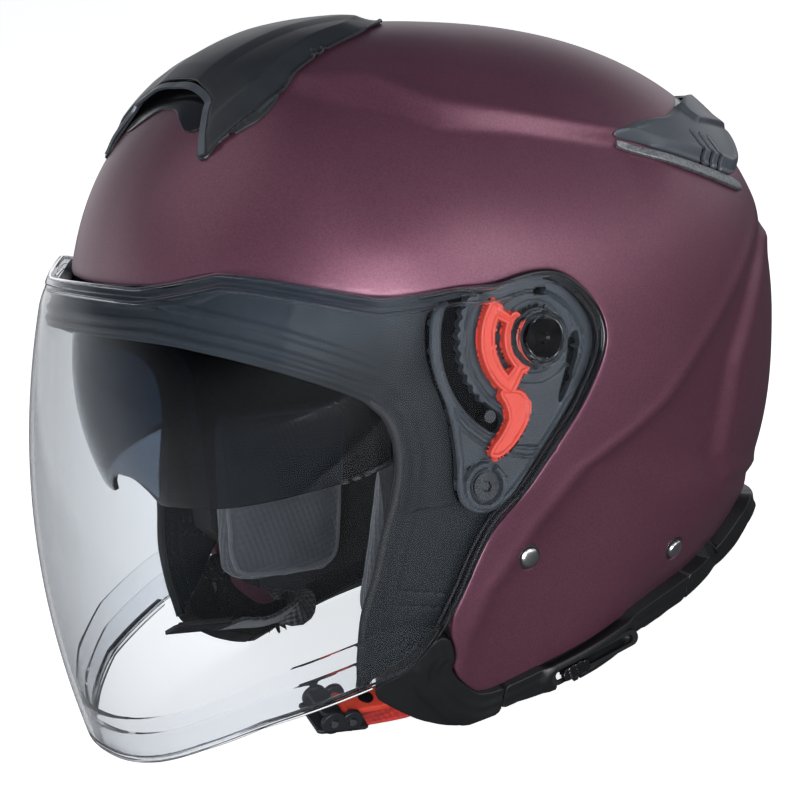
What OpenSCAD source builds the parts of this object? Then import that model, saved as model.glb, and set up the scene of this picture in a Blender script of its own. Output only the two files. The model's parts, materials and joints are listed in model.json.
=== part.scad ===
// Open-face motorcycle helmet with a long clear shield, an inner drop-down sun visor,
// a quick-release shield mechanism, vents, a padded liner and a chin strap.
// The shapes are worked out in the "worn" frame: +Z up on a level head, -Y forward,
// +X the wearer's left, origin in the middle of the shell. The finished part is then
// stood on its lower rim, so +Z is up from the table and the rim rests on z = 0.

/* [Shell] */
// Half width of the painted shell
shell_half_w = 126; // [118:1:134]
// Length of the shell ahead of its middle
shell_front = 133; // [126:1:140]
// Length of the shell behind its middle
shell_rear = 157; // [150:1:164]
// Height of the crown above the middle
shell_top = 126.5; // [120:0.5:132]
// Thickness of the painted shell
shell_t = 4; // [3:0.5:5]
// Thickness of the impact liner and its pads together
liner_t = 33; // [28:1:36]

/* [Shield] */
// Thickness of the clear shield
shield_t = 2.2; // [1.8:0.1:2.6]
// How far the shield bulges ahead of its pivot
shield_reach = 142; // [138:1:146]
// Half width of the shield across the pivots
shield_half_w = 128.5; // [128:0.5:130]
// Radius of the shield hubs
hub_r = 10.4; // [9:0.1:12]

/* [Sun visor] */
// Radius of the sun visor about its own pivot
visor_r = 106.5; // [104:0.5:107]
// Half width of the sun visor across its pivots
visor_half_w = 103.5; // [100:0.5:105]
// Thickness of the sun visor
visor_t = 2; // [1.6:0.1:2.4]

/* [Strap] */
// Width of the chin strap webbing
strap_w = 24; // [20:1:26]
// Thickness of the webbing
strap_t = 1.8; // [1.4:0.1:2.2]

/* [Standing] */
// Angle between the rim and a level head's horizontal
rim_tilt = 19; // [17:0.5:21]
// Distance from the shell's middle down to the rim plane
rim_drop = 130; // [128:0.5:132]

/* [Hidden] */

stand_y = 7.3;                       // moves the middle of the part's length to y = 0
power = 2.35;                        // squareness of the shell's sections
low_side = 200;                      // depth of the side walls' curve below the middle
low_rear = 135;                      // depth of the rear wall's curve below the middle
columns = 40;                        // facets round a shell surface
rows = 20;                           // facets from its bottom to its top
pivot = [-9, 6];                     // shield pivot, y and z
visor_pivot = [-25, -12];            // sun visor pivot, y and z
base_screw = [-29.7, -48.8];         // lower screw of the base plate
rivet_front = [-8, -77.5];           // strap rivets on the shell's side
rivet_rear = [69.6, -82];
rivet_r = 4.6;
plate_x = [117.4, 121];              // the base plate's two faces
lever_x = [121.4, 124.5];
boss_x = 121.8;                       // top of the boss under the base plate's lower screw
coil_r = 10.3;                       // radius of the lock lever's spring
pin_arc = 35.4;                      // radius of the ratchet slot about the pivot
far = 400;                           // longer than anything in the helmet

// ---------- helpers ----------

function lerp(a, b, t) = a + (b - a) * t;
function smooth(t) = let (c = min(1, max(0, t))) c * c * (3 - 2 * c);
function mirrored(points) = concat(points, [for (i = [len(points) - 1 : -1 : 0]) [-points[i].x, points[i].y]]);

// Radius of the shell's outside in the unit direction d.
function tail(d) = 5 * smooth((d.y - 0.35) / 0.3) * smooth((-d.z - 0.3) / 0.12);
function shell_r(d) =
    let (flat = norm([d.x, d.y]) + 1e-9,
         length = lerp(shell_front, shell_rear, smooth(0.5 + 0.75 * d.y / flat)),
         low = lerp(low_side, low_rear, smooth((d.y / flat - 0.15) / 0.7)),
         inverse_h = lerp(1 / low, 1 / shell_top, smooth((d.z + 0.25) / 0.5)),
         sum = pow(abs(d.x) / shell_half_w, power) + pow(abs(d.y) / length, power)
             + pow(abs(d.z) * inverse_h, power))
    pow(sum, -1 / power) + tail(d);

// Stands the worn frame's shapes on the rim.
module standing() {
    translate([0, stand_y, rim_drop]) rotate([-rim_tilt, 0, 0]) children();
}

// Closed body whose surface lies at radius(d) in every direction d.
module star_body(radius, columns = columns, rows = rows) {
    dir = function (c, r) let (a = 360 * c / columns, e = -90 + 180 * r / rows)
        [cos(e) * cos(a), cos(e) * sin(a), sin(e)];
    ring = [for (r = [1 : rows - 1]) for (c = [0 : columns - 1]) let (d = dir(c, r)) d * radius(d)];
    south = len(ring);
    points = concat(ring, [[0, 0, -1] * radius([0, 0, -1]), [0, 0, 1] * radius([0, 0, 1])]);
    at = function (c, r) (r - 1) * columns + c % columns;
    sides = [for (r = [1 : rows - 2]) for (c = [0 : columns - 1])
        each [[at(c, r), at(c, r + 1), at(c + 1, r)], [at(c + 1, r), at(c, r + 1), at(c + 1, r + 1)]]];
    bottom = [for (c = [0 : columns - 1]) [south, at(c, 1), at(c + 1, 1)]];
    top = [for (c = [0 : columns - 1]) [south + 1, at(c + 1, rows - 1), at(c, rows - 1)]];
    polyhedron(points, concat(sides, bottom, top));
}

// Wall between two offsets of the shell's outside, both measured outwards.
module shell_wall(inside, outside) {
    difference() {
        star_body(function (d) shell_r(d) + outside);
        star_body(function (d) shell_r(d) + inside);
    }
}

// Prism of a side-view outline: the points are y and z, and the prism runs from x0 to x1.
module side_prism(outline, x0 = -far, x1 = far) {
    translate([x0, 0, 0]) rotate([90, 0, 90]) linear_extrude(x1 - x0) polygon(outline);
}

// Prism of a top-view outline.
module top_prism(outline) {
    linear_extrude(far) polygon(outline);
}

// Round bar along X at a side-view place.
module cross_bar(place, r, x0, x1, fn = 48) {
    translate([x0, place.x, place.y]) rotate([0, 90, 0]) cylinder(r = r, h = x1 - x0, $fn = fn);
}

// Slot with round ends along X, between two side-view places.
module cross_slot(from, to, r, x0, x1) {
    hull() {
        cross_bar(from, r, x0, x1, 20);
        cross_bar(to, r, x0, x1, 20);
    }
}

module both_sides() {
    children();
    mirror([1, 0, 0]) children();
}

// ---------- outlines, y and z in the worn frame ----------

brow_edge = [[-170, 21.5], [-129, 21.5], [-118, 29.5], [-109, 28.5], [-84, 23.5], [-69, 21]];
recess_edge = [[-57, 22.5], [-41, 25.5], [-29, 26], [-18, 29.5], [-7, 31.5], [2, 30], [11, 24],
    [18, 16], [21, 7], [20, -1], [16, -10], [10, -21], [1, -33], [-7, -44], [-13, -52], [-20, -58],
    [-25, -64], [-30, -75], [-34, -88], [-39, -103]];
cheek_edge = [[-32, -116], [-35, -120], [-24, -129.5], [-18, -132], [-9, -129.5]];
tail_edge = [[12, -121], [47, -107.5], [89, -96], [105, -90], [122, -72], [132, -66], [200, -66]];
painted_edge = concat(brow_edge, recess_edge, cheek_edge, tail_edge);
painted_outline = concat(painted_edge, [[200, 200], [-170, 200]]);
trim_bottom = [[-64, -128.5], [-52, -136.5], [-37, -143.5], [-20, -145.5], [-11, -142.5], [-9, -138],
    [8, -134.5], [35, -125.5], [65, -116], [89, -107], [117, -92], [130, -74], [200, -74]];
eye_port = [[-170, 2], [-135, 3.5], [-110, -3.5], [-86, -11.5], [-72, -17], [-64.5, -25], [-61, -38],
    [-61.5, -52], [-64.5, -69], [-66, -85], [-68, -100], [-67, -116], [-64, -129], [-64, -160],
    [-170, -160]];

// ---------- shell and liner ----------

module outer_shell() color([0.30, 0.14, 0.20]) standing() difference() {
    intersection() {
        shell_wall(-shell_t, 0);
        side_prism(painted_outline);
    }
    both_sides() for (place = [rivet_front, rivet_rear]) cross_bar(place, rivet_r, 90, 140);
    for (x = [-24, -8, 8, 24]) hull() {
        translate([x, -84, 70]) cylinder(r = 4, h = 60, $fn = 16);
        translate([x, -66, 70]) cylinder(r = 4, h = 60, $fn = 16);
    }
    // exhaust holes under the rear vent's wings
    both_sides() for (y = [72, 80, 88]) translate([84, y, 60]) cylinder(r = 2, h = 40, $fn = 12);
}

// The space the sun visor turns in, seen from the side as a sector about its pivot.
sweep_sector = concat([visor_pivot],
    [for (a = [-60 : 10 : 80]) visor_pivot + 160 * [-cos(a), sin(a)]],
    [for (a = [90 : 10 : 130]) visor_pivot + 50 * [-cos(a), sin(a)]]);
frame_backing = [[-170, 21.2], [-129, 21.2], [-118, 29.2], [-109, 28.2], [-84, 23.2], [-69, 20.7],
    [-62, 30], [-30, 38], [0, 40], [18, 34], [30, 18], [31, 0], [22, -22], [8, -40], [-6, -54], [-20, -66],
    [-24, -80], [-27, -96], [-36, -99], [-39.6, -102.4], [-52.6, -119], [-64.6, -128]];
frame_outline = concat(frame_backing, [[-64, -160], [-170, -160]]);
liner_outline = [[-125, 26], [-100, 18], [-78, 0], [-58, -22], [-52, -60], [-50, -91], [-30, -105],
    [-28, -117], [-10, -119.5], [45, -102], [90, -90], [118, -68], [135, -61], [200, -61], [200, 200],
    [-125, 200]];

// The liner stays thin behind the eye port's frame and the shield's mechanism.
clear_of_mechanism = [[-170, 10], [-60, 10], [-60, 42], [35, 42], [35, -30], [10, -62], [10, -200],
    [-170, -200]];

// Body of revolution about the sun visor's pivot line.
module visor_body(r, half_w, sides = 48, step = 7.5) {
    bend = 2 / 2.6;
    outline = [for (a = [-90 : step : 90])
        [r * pow(cos(a) + 1e-9, bend), sign(a) * half_w * pow(abs(sin(a)), bend)]];
    translate([0, visor_pivot.x, visor_pivot.y]) rotate([0, 90, 0]) rotate_extrude($fn = sides) polygon(outline);
}

module impact_liner() color([0.10, 0.10, 0.11]) standing() difference() {
    intersection() {
        union() {
            star_body(function (d) shell_r(d) - 12.8, 32, 16);
            difference() {
                star_body(function (d) shell_r(d) - tail(d) - shell_t - 1.4, 32, 16);
                side_prism(concat(frame_backing, [[-170, -160]]));
                side_prism(clear_of_mechanism);
            }
        }
        side_prism(liner_outline);
    }
    star_body(function (d) shell_r(d) - liner_t, 32, 16);
    neck_hole(1);
    // pocket that the sun visor slides up into
    intersection() {
        union() {
            side_prism(sweep_sector);
            cross_bar(visor_pivot, 21, -far, far);
        }
        difference() {
            visor_body(visor_r + 2, visor_half_w + 2, 30, 11.25);
            visor_body(visor_r - visor_t - 1.5, visor_half_w - visor_t - 1.5, 30, 11.25);
        }
    }
    both_sides() {
        cross_bar(visor_pivot, 7, 90, 130, 24);
        for (place = [pivot, base_screw]) cross_bar(place, 3.4, 90, 130, 24);
        for (place = [rivet_front, rivet_rear]) cross_bar(place, rivet_r, 90, 130, 24);
        // seats of the strap's anchor plates, and of the cheek pads
        translate([111, -18, -88]) cube([20, 26, 20]);
        translate([90.9, 60, -92]) cube([20, 20, 20]);
        cheek_pad(1.2, 10);
    }
    tube(cable_path, 1.6, 6);
    // air channels over the crown
    for (x = [-30, 30]) {
        translate([x, -70, 60]) cylinder(r = 5, h = 90, $fn = 14);
        translate([x, 76, 50]) cylinder(r = 5, h = 90, $fn = 14);
    }
}

module crown_pad() color([0.13, 0.13, 0.15]) standing() difference() {
    intersection() {
        star_body(function (d) shell_r(d) - liner_t - 1.4, 28, 14);
        side_prism([[-92, 30], [-60, 12], [20, 5], [100, -5], [140, -5], [140, 200], [-92, 200]]);
    }
    star_body(function (d) shell_r(d) - liner_t - 8.5, 28, 14);
    for (x = [-30, -10, 10, 30]) hull() {
        translate([x, -40, 0]) cylinder(r = 4, h = 160, $fn = 12);
        translate([x, 0, 0]) cylinder(r = 4, h = 160, $fn = 12);
    }
    for (x = [-30, -10, 10, 30]) hull() {
        translate([x, 30, 0]) cylinder(r = 4, h = 160, $fn = 12);
        translate([x, 60, 0]) cylinder(r = 4, h = 160, $fn = 12);
    }
}

// A rounded wedge between the liner and the cheek.
module cheek_pad(grow = 0, fn = 16) hull() {
    translate([78, -44, -46]) sphere(r = 9 + grow, $fn = fn);
    translate([78, 8, -42]) sphere(r = 9 + grow, $fn = fn);
    translate([66, -42, -102]) sphere(r = 12 + grow, $fn = fn);
    translate([66, -6, -100]) sphere(r = 12 + grow, $fn = fn);
}
module cheek_pad_left() color([0.12, 0.12, 0.13]) standing() cheek_pad();
module cheek_pad_right() color([0.12, 0.12, 0.13]) standing() mirror([1, 0, 0]) cheek_pad();

module neck_roll() color([0.12, 0.12, 0.13]) standing() intersection() {
    difference() {
        star_body(function (d) shell_r(d) - liner_t - 2, 32, 18);
        star_body(function (d) shell_r(d) - liner_t - 14, 32, 18);
    }
    side_prism([[34, -84], [150, -44], [150, -14], [34, -56]]);
}

// ---------- black frame round the eye port ----------

function brow_out(d) = 13 * smooth((-d.y - 0.55) / 0.3) * smooth((0.3 - abs(d.z - 0.05)) / 0.12);

module face_frame() color([0.17, 0.18, 0.19]) standing() difference() {
    intersection() {
        difference() {
            star_body(function (d) shell_r(d) - 5 + brow_out(d));
            star_body(function (d) shell_r(d) - 12 + brow_out(d));
        }
        side_prism(frame_outline);
        // the brow's gasket stops short of the closed shield
        union() {
            shield_body(shield_t + 0.7);
            side_prism([[10, -200], [200, -200], [200, 200], [10, 200]]);
        }
    }
    side_prism(eye_port);
    both_sides() {
        side_prism(base_outline, plate_x[0] - 0.2, 140);
        cross_bar(base_screw, 3.2, 90, 140, 24);
        cross_bar(pivot, 3.2, 90, 140, 24);
        cross_bar(visor_pivot, 4.2, 90, 140, 24);
        for (z = [-72, -80, -88, -96, -104]) cross_slot([-50, z], [-38, z], 1.4, 80, 140);
    }
}

// Rubber bead along the rear edge of the eye port.
gasket_line = [[-82, -15.6], [-74, -19], [-67, -26.5], [-63.5, -38], [-64, -52], [-67, -69],
    [-68.5, -85], [-71, -100], [-70.5, -114], [-69.5, -121]];
module eyeport_gasket() color([0.08, 0.08, 0.09]) standing() both_sides() intersection() {
    shell_wall(-8, -2.5);
    union() for (i = [0 : len(gasket_line) - 2]) cross_slot(gasket_line[i], gasket_line[i + 1], 1.8, 40, 140);
}

// ---------- shield mechanism ----------

base_outline = [[-52, 19], [-40, 22], [-28, 23], [-16, 27], [-5, 28], [5, 24], [14, 15], [17.5, 6],
    [16, -3], [12, -12], [5, -24], [-4, -36], [-12, -48], [-20, -56], [-29, -60], [-38, -58],
    [-42, -50], [-41, -42], [-45, -20], [-52, -7], [-54, 8]];

function arc_place(a, r) = pivot + r * [-cos(a), sin(a)];

module base_plate() difference() {
    union() {
        side_prism(base_outline, plate_x[0], plate_x[1]);
        cross_bar(pivot, 8.3, plate_x[1] - 1, 124.7);
        cross_bar(base_screw, 8.7, plate_x[1] - 1, boss_x);
    }
    cross_bar(pivot, 3.2, 100, 130);
    cross_bar(base_screw, 3.2, 100, 130);
    // toothed arc slot for the shield's ratchet pin
    translate([100, pivot.x, pivot.y]) rotate([90, 0, 90]) linear_extrude(40) difference() {
        polygon(concat([for (a = [-62 : 4 : 26]) (pin_arc - 4) * [-cos(a), sin(a)]],
                       [for (a = [26 : -4 : -62]) (pin_arc + 4) * [-cos(a), sin(a)]]));
        for (a = [-34 : 12 : 20]) translate((pin_arc - 4.6) * [-cos(a), sin(a)]) circle(r = 1.6, $fn = 16);
    }
    translate([plate_x[1] - 1.6, -21, -2]) cube([4, 4, 4]);
    // groove for the lock lever's spring
    difference() {
        cross_bar(pivot, coil_r + 1, plate_x[1] - 1.8, plate_x[1] + 0.1);
        cross_bar(pivot, coil_r - 1, plate_x[1] - 2, plate_x[1] + 1);
    }
}
module base_plate_left() color([0.15, 0.16, 0.17]) standing() base_plate();
module base_plate_right() color([0.15, 0.16, 0.17]) standing() mirror([1, 0, 0]) base_plate();

module star_socket(x) {
    for (a = [0 : 60 : 120]) translate([x, 0, 0]) rotate([a, 0, 0])
        translate([0, -2.2, -0.7]) cube([3, 4.4, 1.4]);
}
module screw(place, head_r, head_x, head_t, thread_x) difference() {
    union() {
        cross_bar(place, head_r, head_x, head_x + head_t);
        cross_bar(place, 3.15, thread_x, head_x);
    }
    translate([0, place.x, place.y]) star_socket(head_x + head_t - 1.2);
}
module base_screws() color([0.55, 0.56, 0.58]) standing() both_sides()
    screw(base_screw, 5.2, boss_x, 1.1, 106);
module pivot_screws() color([0.55, 0.56, 0.58]) standing() both_sides() {
    screw(pivot, 7.2, 128, 1.2, 106);
    difference() {
        cross_bar(pivot, 6, 124.7, 128);
        cross_bar(pivot, 3.15, 124.7, 128);
    }
}

module shield_hub() difference() {
    cross_bar(pivot, hub_r, 125, 129.6);
    cross_bar(pivot, 6.05, 124, 131);
    cross_bar(pivot, 7.4, 127.8, 131);
}
module shield_hub_left() color([0.12, 0.12, 0.13]) standing() shield_hub();
module shield_hub_right() color([0.12, 0.12, 0.13]) standing() mirror([1, 0, 0]) shield_hub();
module ratchet_pins() color([0.6, 0.6, 0.62]) standing() both_sides()
    cross_bar(arc_place(-54, pin_arc), 2.4, 118.4, 125.15);

module lever_ring(a0, a1, r0, r1, x0, x1) {
    translate([x0, pivot.x, pivot.y]) rotate([90, 0, 90]) linear_extrude(x1 - x0)
        polygon(concat([for (a = [a0 : 5 : a1]) r0 * [-cos(a), sin(a)]],
                       [for (a = [a1 : -5 : a0]) r1 * [-cos(a), sin(a)]]));
}
handle_outline = [[-27, -13], [-20, -12.5], [-13, -14.5], [-11.5, -22], [-15, -30], [-23, -38],
    [-28.5, -38.5], [-29.5, -35.5], [-22.5, -28], [-20.5, -21]];
module lock_lever() difference() {
    union() {
        lever_ring(-50, 35, 18.5, 24.5, lever_x[0], lever_x[1]);
        lever_ring(20, 35, 9, 24.5, lever_x[0], lever_x[1]);
        lever_ring(-65, -45, 9, 24.5, lever_x[0], lever_x[1]);
        cross_bar(pivot, 12.5, lever_x[0], lever_x[1]);
        side_prism(handle_outline, lever_x[0], lever_x[1]);
    }
    cross_bar(pivot, 8.38, 110, 130);
}
module lock_lever_left() color([0.86, 0.16, 0.12]) standing() lock_lever();
module lock_lever_right() color([0.86, 0.16, 0.12]) standing() mirror([1, 0, 0]) lock_lever();

module lever_springs() color([0.7, 0.7, 0.72]) standing() both_sides()
    for (x = [119.75, 120.6]) translate([x, pivot.x, pivot.y]) rotate([0, 90, 0])
        rotate_extrude($fn = 40) translate([coil_r, 0]) circle(r = 0.42, $fn = 16);

// ---------- clear shield ----------

function shield_w(z) = shield_half_w * pow(1 - pow(abs(min(z, 0)) / 205, power), 1 / power);
function shield_f(z) = shield_reach - 0.00154 * pow(z + 48, 2) - 3.5 * smooth((z - 10) / 20);
shield_top = [[-170, 24], [-136, 23], [-118.5, 30], [-109, 29], [-85, 24], [-72, 21.5], [-60, 23],
    [-43, 25.5], [-29, 26], [-18, 28.5], [-7, 29.5], [1, 28], [9, 22.5], [15.5, 15], [18, 7]];
shield_back = [[17.5, -1], [13.5, -11], [8, -21], [-1, -34], [-9, -45], [-15, -53], [-23, -61],
    [-27, -66], [-32, -76], [-36, -89], [-45, -108], [-52, -118]];
shield_bottom = [[-56, -121], [-66, -125], [-85, -134], [-100, -141], [-115, -152], [-124, -160],
    [-132, -166], [-170, -170]];

// Section of the shield at height z as points [x, y], t apart from its outside.
function shield_place(s, z, t) =
    let (a = min(90, abs(s)), w = shield_w(z) - t, f = shield_f(z) - t, back = max(0, abs(s) - 90) * 1.1)
    [sign(s) * w * pow(sin(a), 2 / power), pivot.x - f * pow(cos(a) + 1e-9, 2 / power) + back, z];

// Place on the shield's lower edge, where its section meets the bottom outline.
lower_edge = [for (i = [len(shield_bottom) - 1 : -1 : 0]) shield_bottom[i]];
function edge_z(s, z, tries) =
    tries == 0 ? z : edge_z(s, lookup(shield_place(s, z, 0).y, lower_edge), tries - 1);
function lip_place(s) = shield_place(s, edge_z(s, -150, 4) + 1.5, 3.2);

module shield_body(t, top = 36, bottom = -172) {
    steps = [for (s = [-116 : 6.1 : 116.5]) s];
    heights = [for (i = [0 : 16]) lerp(bottom, top, i / 16)];
    m = len(steps);
    points = [for (z = heights) for (s = steps) shield_place(s, z, t)];
    at = function (i, j) j * m + i;
    n = len(heights);
    walls = [for (j = [0 : n - 2]) for (i = [0 : m - 2])
        each [[at(i, j), at(i, j + 1), at(i + 1, j)], [at(i + 1, j), at(i, j + 1), at(i + 1, j + 1)]]];
    back = [for (j = [0 : n - 2])
        each [[at(m - 1, j), at(m - 1, j + 1), at(0, j)], [at(0, j), at(m - 1, j + 1), at(0, j + 1)]]];
    floor = [[for (i = [0 : m - 1]) at(i, 0)]];
    roof = [[for (i = [m - 1 : -1 : 0]) at(i, n - 1)]];
    polyhedron(points, concat(walls, back, floor, roof));
}

module face_shield() color([0.80, 0.84, 0.88, 0.35]) standing() difference() {
    union() {
        intersection() {
            difference() {
                shield_body(0);
                translate([0, 0.01, 0]) shield_body(shield_t);
            }
            side_prism(concat(shield_top, shield_back, shield_bottom));
        }
        // thick lip along the lower edge
        for (side = [-1, 1]) for (i = [0 : 5]) hull() for (k = [i, i + 1])
            translate(lip_place(side * k * 11.6)) sphere(r = 2.6, $fn = 8);
    }
    both_sides() cross_bar(pivot, hub_r + 0.05, 100, 140);
}

// ---------- sun visor ----------

visor_outline = [[-25, 6], [-60, 16], [-100, 17], [-170, 14], [-170, -66], [-121, -66], [-116, -62],
    [-112, -62], [-100, -58], [-84, -52], [-64, -46], [-30, -24], [-16, -20], [-12, -12], [-17, 2]];

module sun_visor() color([0.10, 0.12, 0.18, 0.8]) standing() difference() {
    intersection() {
        difference() {
            visor_body(visor_r, visor_half_w);
            visor_body(visor_r - visor_t, visor_half_w - visor_t);
        }
        side_prism(visor_outline);
    }
    // notch over the nose
    hull() {
        for (x = [-14, 14]) translate([x, -160, -58]) rotate([-90, 0, 0]) cylinder(r = 4, h = 80, $fn = 24);
        for (x = [-30, 30]) translate([x, -160, -80]) rotate([-90, 0, 0]) cylinder(r = 4, h = 80, $fn = 24);
    }
    both_sides() cross_bar(visor_pivot, 4.05, 80, 120);
}
module sun_visor_pins() color([0.5, 0.5, 0.52]) standing() both_sides() {
    cross_bar(visor_pivot, 4, 99, plate_x[0]);
    cross_bar(visor_pivot, 6, 98.2, 101);
}

// ---------- lower trim ----------

trim_top = [[-52, -119.8], [-39.3, -103.3], [-32.3, -116.3], [-35.3, -120.3], [-24.2, -129.8],
    [-18, -132.3], [-9, -129.8], [12, -121.3], [47, -107.8], [89, -96.3], [105, -90.3], [122, -72.3],
    [132, -66.3], [200, -66.3]];
trim_outline = concat(trim_top, [for (i = [len(trim_bottom) - 1 : -1 : 0]) trim_bottom[i]]);
function trim_flare(d) = 11 * smooth((d.y - 0.3) / 0.35) * smooth((-d.z - 0.36) / 0.1);

// The way in for the head, square to the rim.
neck_size = [78, 82];                // half width and half length of the way in
module neck_hole(grow = 0) rotate([rim_tilt, 0, 0]) translate([0, -10, -rim_drop - 30])
    linear_extrude(90) polygon([for (a = [0 : 9 : 351])
        [sign(cos(a)) * (neck_size.x + grow) * pow(abs(cos(a)), 0.8),
         sign(sin(a)) * (neck_size.y + grow) * pow(abs(sin(a)), 0.8)]]);

// Part of the lower trim between two distances along the helmet, above the rim plane.
module trim_part(y0, y1, x0 = 0) difference() {
    intersection() {
        difference() {
            star_body(function (d) shell_r(d) + 0.6 + trim_flare(d));
            star_body(function (d) shell_r(d) - 15);
        }
        side_prism(trim_outline);
        translate([x0, y0, -far]) cube([far, y1 - y0, 2 * far]);
    }
    rotate([rim_tilt, 0, 0]) translate([-far, -far, -rim_drop - far]) cube([2 * far, 2 * far, far]);
    neck_hole();
}
module trim_front_left() color([0.12, 0.13, 0.14]) standing() trim_part(-80, -9.2);
module trim_front_right() color([0.12, 0.13, 0.14]) standing() mirror([1, 0, 0]) trim_part(-80, -9.2);
module trim_side_left() color([0.10, 0.11, 0.12]) standing() difference() {
    trim_part(-8.8, 88);
    cross_slot(along(0), along(34), 1.8, 80, 140);
    cross_slot(along(-1), along(35), 3.3, track_x[0] - 0.1, 140);
}
module trim_side_right() color([0.10, 0.11, 0.12]) standing() mirror([1, 0, 0]) trim_part(-8.8, 88);
module trim_rear() color([0.10, 0.11, 0.12]) standing() trim_part(88.4, 220, -far / 2);

// Sun visor slider on the left lower edge, and the track it runs in.
slide_dir = [cos(20.5), sin(20.5)];
slide_from = [14, -127.2];
track_x = [103.6, 105.2];
function along(d) = slide_from + d * slide_dir;
module slider_track() color([0.09, 0.09, 0.10]) standing() difference() {
    cross_slot(along(-1), along(35), 3.2, track_x[0], track_x[1]);
    cross_slot(along(0), along(34), 1.7, 100, 110);
}
module visor_slider() color([0.14, 0.14, 0.15]) standing() {
    cross_slot(along(4), along(9), 1.4, 98, track_x[1] + 0.4);
    cross_slot(along(2.5), along(10.5), 2.4, track_x[1] + 0.4, track_x[1] + 3);
}

// Bowden cable from the slider up to the sun visor's pivot, between shell and liner.
cable_path = [[99, 12, -117], [102, 11, -108], [104.5, 10, -97], [106.5, 8, -85], [107.5, 4, -73],
    [107.8, -2, -60], [107.6, -9, -46], [107.3, -15, -34], [107.2, -20, -26]];
module tube(path, r, sides = 8) {
    last = len(path) - 1;
    dir = [for (i = [0 : last]) let (v = path[min(last, i + 1)] - path[max(0, i - 1)]) v / norm(v)];
    points = [for (i = [0 : last]) let (u = cross(dir[i], [0, 1, 0.3]), w = cross(u, dir[i]) / norm(u))
        for (k = [0 : sides - 1]) let (a = 360 * k / sides)
            path[i] + r * (u / norm(u) * cos(a) + w * sin(a))];
    faces = [for (i = [0 : last - 1]) for (k = [0 : sides - 1])
        let (l = (k + 1) % sides, a = i * sides, b = a + sides)
        each [[a + k, a + l, b + k], [a + l, b + l, b + k]]];
    polyhedron(points, concat(faces, [[for (k = [sides - 1 : -1 : 0]) k]],
        [[for (k = [0 : sides - 1]) last * sides + k]]));
}
module visor_cable() color([0.05, 0.05, 0.05]) standing() tube(cable_path, 1);

// ---------- vents ----------

vent_plan = mirrored([[0, -104], [12, -107], [32, -106], [40, -110], [47, -114], [62, -92], [56, -77],
    [50, -62], [44, -43], [27, -22], [0, -17]]);
mouth_plan = mirrored([[0, -140], [34, -140], [34, -80], [26, -64], [0, -60]]);
module top_vent_frame() color([0.13, 0.14, 0.15]) standing() difference() {
    intersection() {
        shell_wall(0.3, 4);
        top_prism(vent_plan);
    }
    intersection() {
        shell_wall(-1, 2.7);
        top_prism(mouth_plan);
    }
    for (x = [-15, -5, 5, 15]) hull() {
        translate([x, -44, 100]) cylinder(r = 1.2, h = 60, $fn = 12);
        translate([x, -30, 100]) cylinder(r = 1.2, h = 60, $fn = 12);
    }
    both_sides() for (y = [-70, -62]) hull() {
        translate([40, y, 90]) cylinder(r = 0.8, h = 60, $fn = 12);
        translate([48, y + 4, 90]) cylinder(r = 0.8, h = 60, $fn = 12);
    }
}
module top_vent_slider() color([0.10, 0.10, 0.11]) standing()
    translate([0, -88, 104.3]) rotate([36, 0, 0]) {
        translate([-18, -6, -0.6]) cube([36, 12, 0.9]);
        translate([-6, -8, -0.6]) cube([12, 2, 1.4]);
    }

vent_side = [[32, 81], [54, 87.5], [74, 89], [88, 97], [98, 98], [160, 98], [160, 86], [121, 84.5], [119, 81],
    [104, 65.2], [60, 75.5]];
chevron_step = [5.2, -1.3];          // from one chevron outlet to the next
function chevron(i, back, down) = [79 + back, 82.5 - down] + i * chevron_step;
function vent_rise(d) = 1.5 + 4.5 * smooth((d.y - 0.25) / 0.35);
module rear_vent() color([0.12, 0.13, 0.14]) standing() difference() {
    intersection() {
        difference() {
            star_body(function (d) shell_r(d) + vent_rise(d));
            star_body(function (d) shell_r(d) + 0.3);
        }
        side_prism(vent_side);
    }
    // three chevron outlets each side
    both_sides() for (i = [0 : 2]) {
        cross_slot(chevron(i, 0, 0), chevron(i, 3.5, 6), 1, 60, 140);
        cross_slot(chevron(i, 3.5, 6), chevron(i, 1.5, 11.5), 1, 60, 140);
    }
}
module vent_strip() intersection() {
    shell_wall(0.3, 2.4);
    side_prism([[33, 80.6], [60, 75.2], [106, 64.2], [109, 59], [104, 59], [60, 70.5], [37, 76]], 20, 140);
}
module vent_strip_left() color([0.62, 0.64, 0.66]) standing() vent_strip();
module vent_strip_right() color([0.62, 0.64, 0.66]) standing() mirror([1, 0, 0]) vent_strip();

// ---------- rivets and strap ----------

module rivet_caps() color([0.75, 0.75, 0.77]) standing() both_sides() {
    cross_bar(rivet_front, 3.9, 114, 120.3);
    cross_bar(rivet_rear, 3.9, 92.8, 104.8);
}
module strap_anchors() color([0.55, 0.55, 0.57]) standing() both_sides() {
    translate([112.6, -16, -84]) cube([1.4, 22, 13]);
    translate([91.4, 64, -87]) cube([1.4, 11, 10]);
}

// Flat webbing along a path; each place has its own width direction.
module webbing(path, across, w, t) {
    dir = [for (i = [0 : len(path) - 1]) path[min(len(path) - 1, i + 1)] - path[max(0, i - 1)]];
    points = [for (i = [0 : len(path) - 1])
        let (u = across[i] / norm(across[i]), n = cross(dir[i], u), up = n / norm(n))
        each [path[i] - u * w / 2 - up * t / 2, path[i] + u * w / 2 - up * t / 2,
              path[i] + u * w / 2 + up * t / 2, path[i] - u * w / 2 + up * t / 2]];
    faces = [for (i = [0 : len(path) - 2]) for (k = [0 : 3]) let (l = (k + 1) % 4, a = 4 * i, b = 4 * i + 4)
        each [[a + k, b + k, a + l], [a + l, b + k, b + l]]];
    last = 4 * len(path) - 4;
    polyhedron(points, concat(faces, [[0, 1, 2], [0, 2, 3]],
        [[last, last + 2, last + 1], [last, last + 3, last + 2]]));
}
buckle_place = [54, -57, -142.5];
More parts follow.
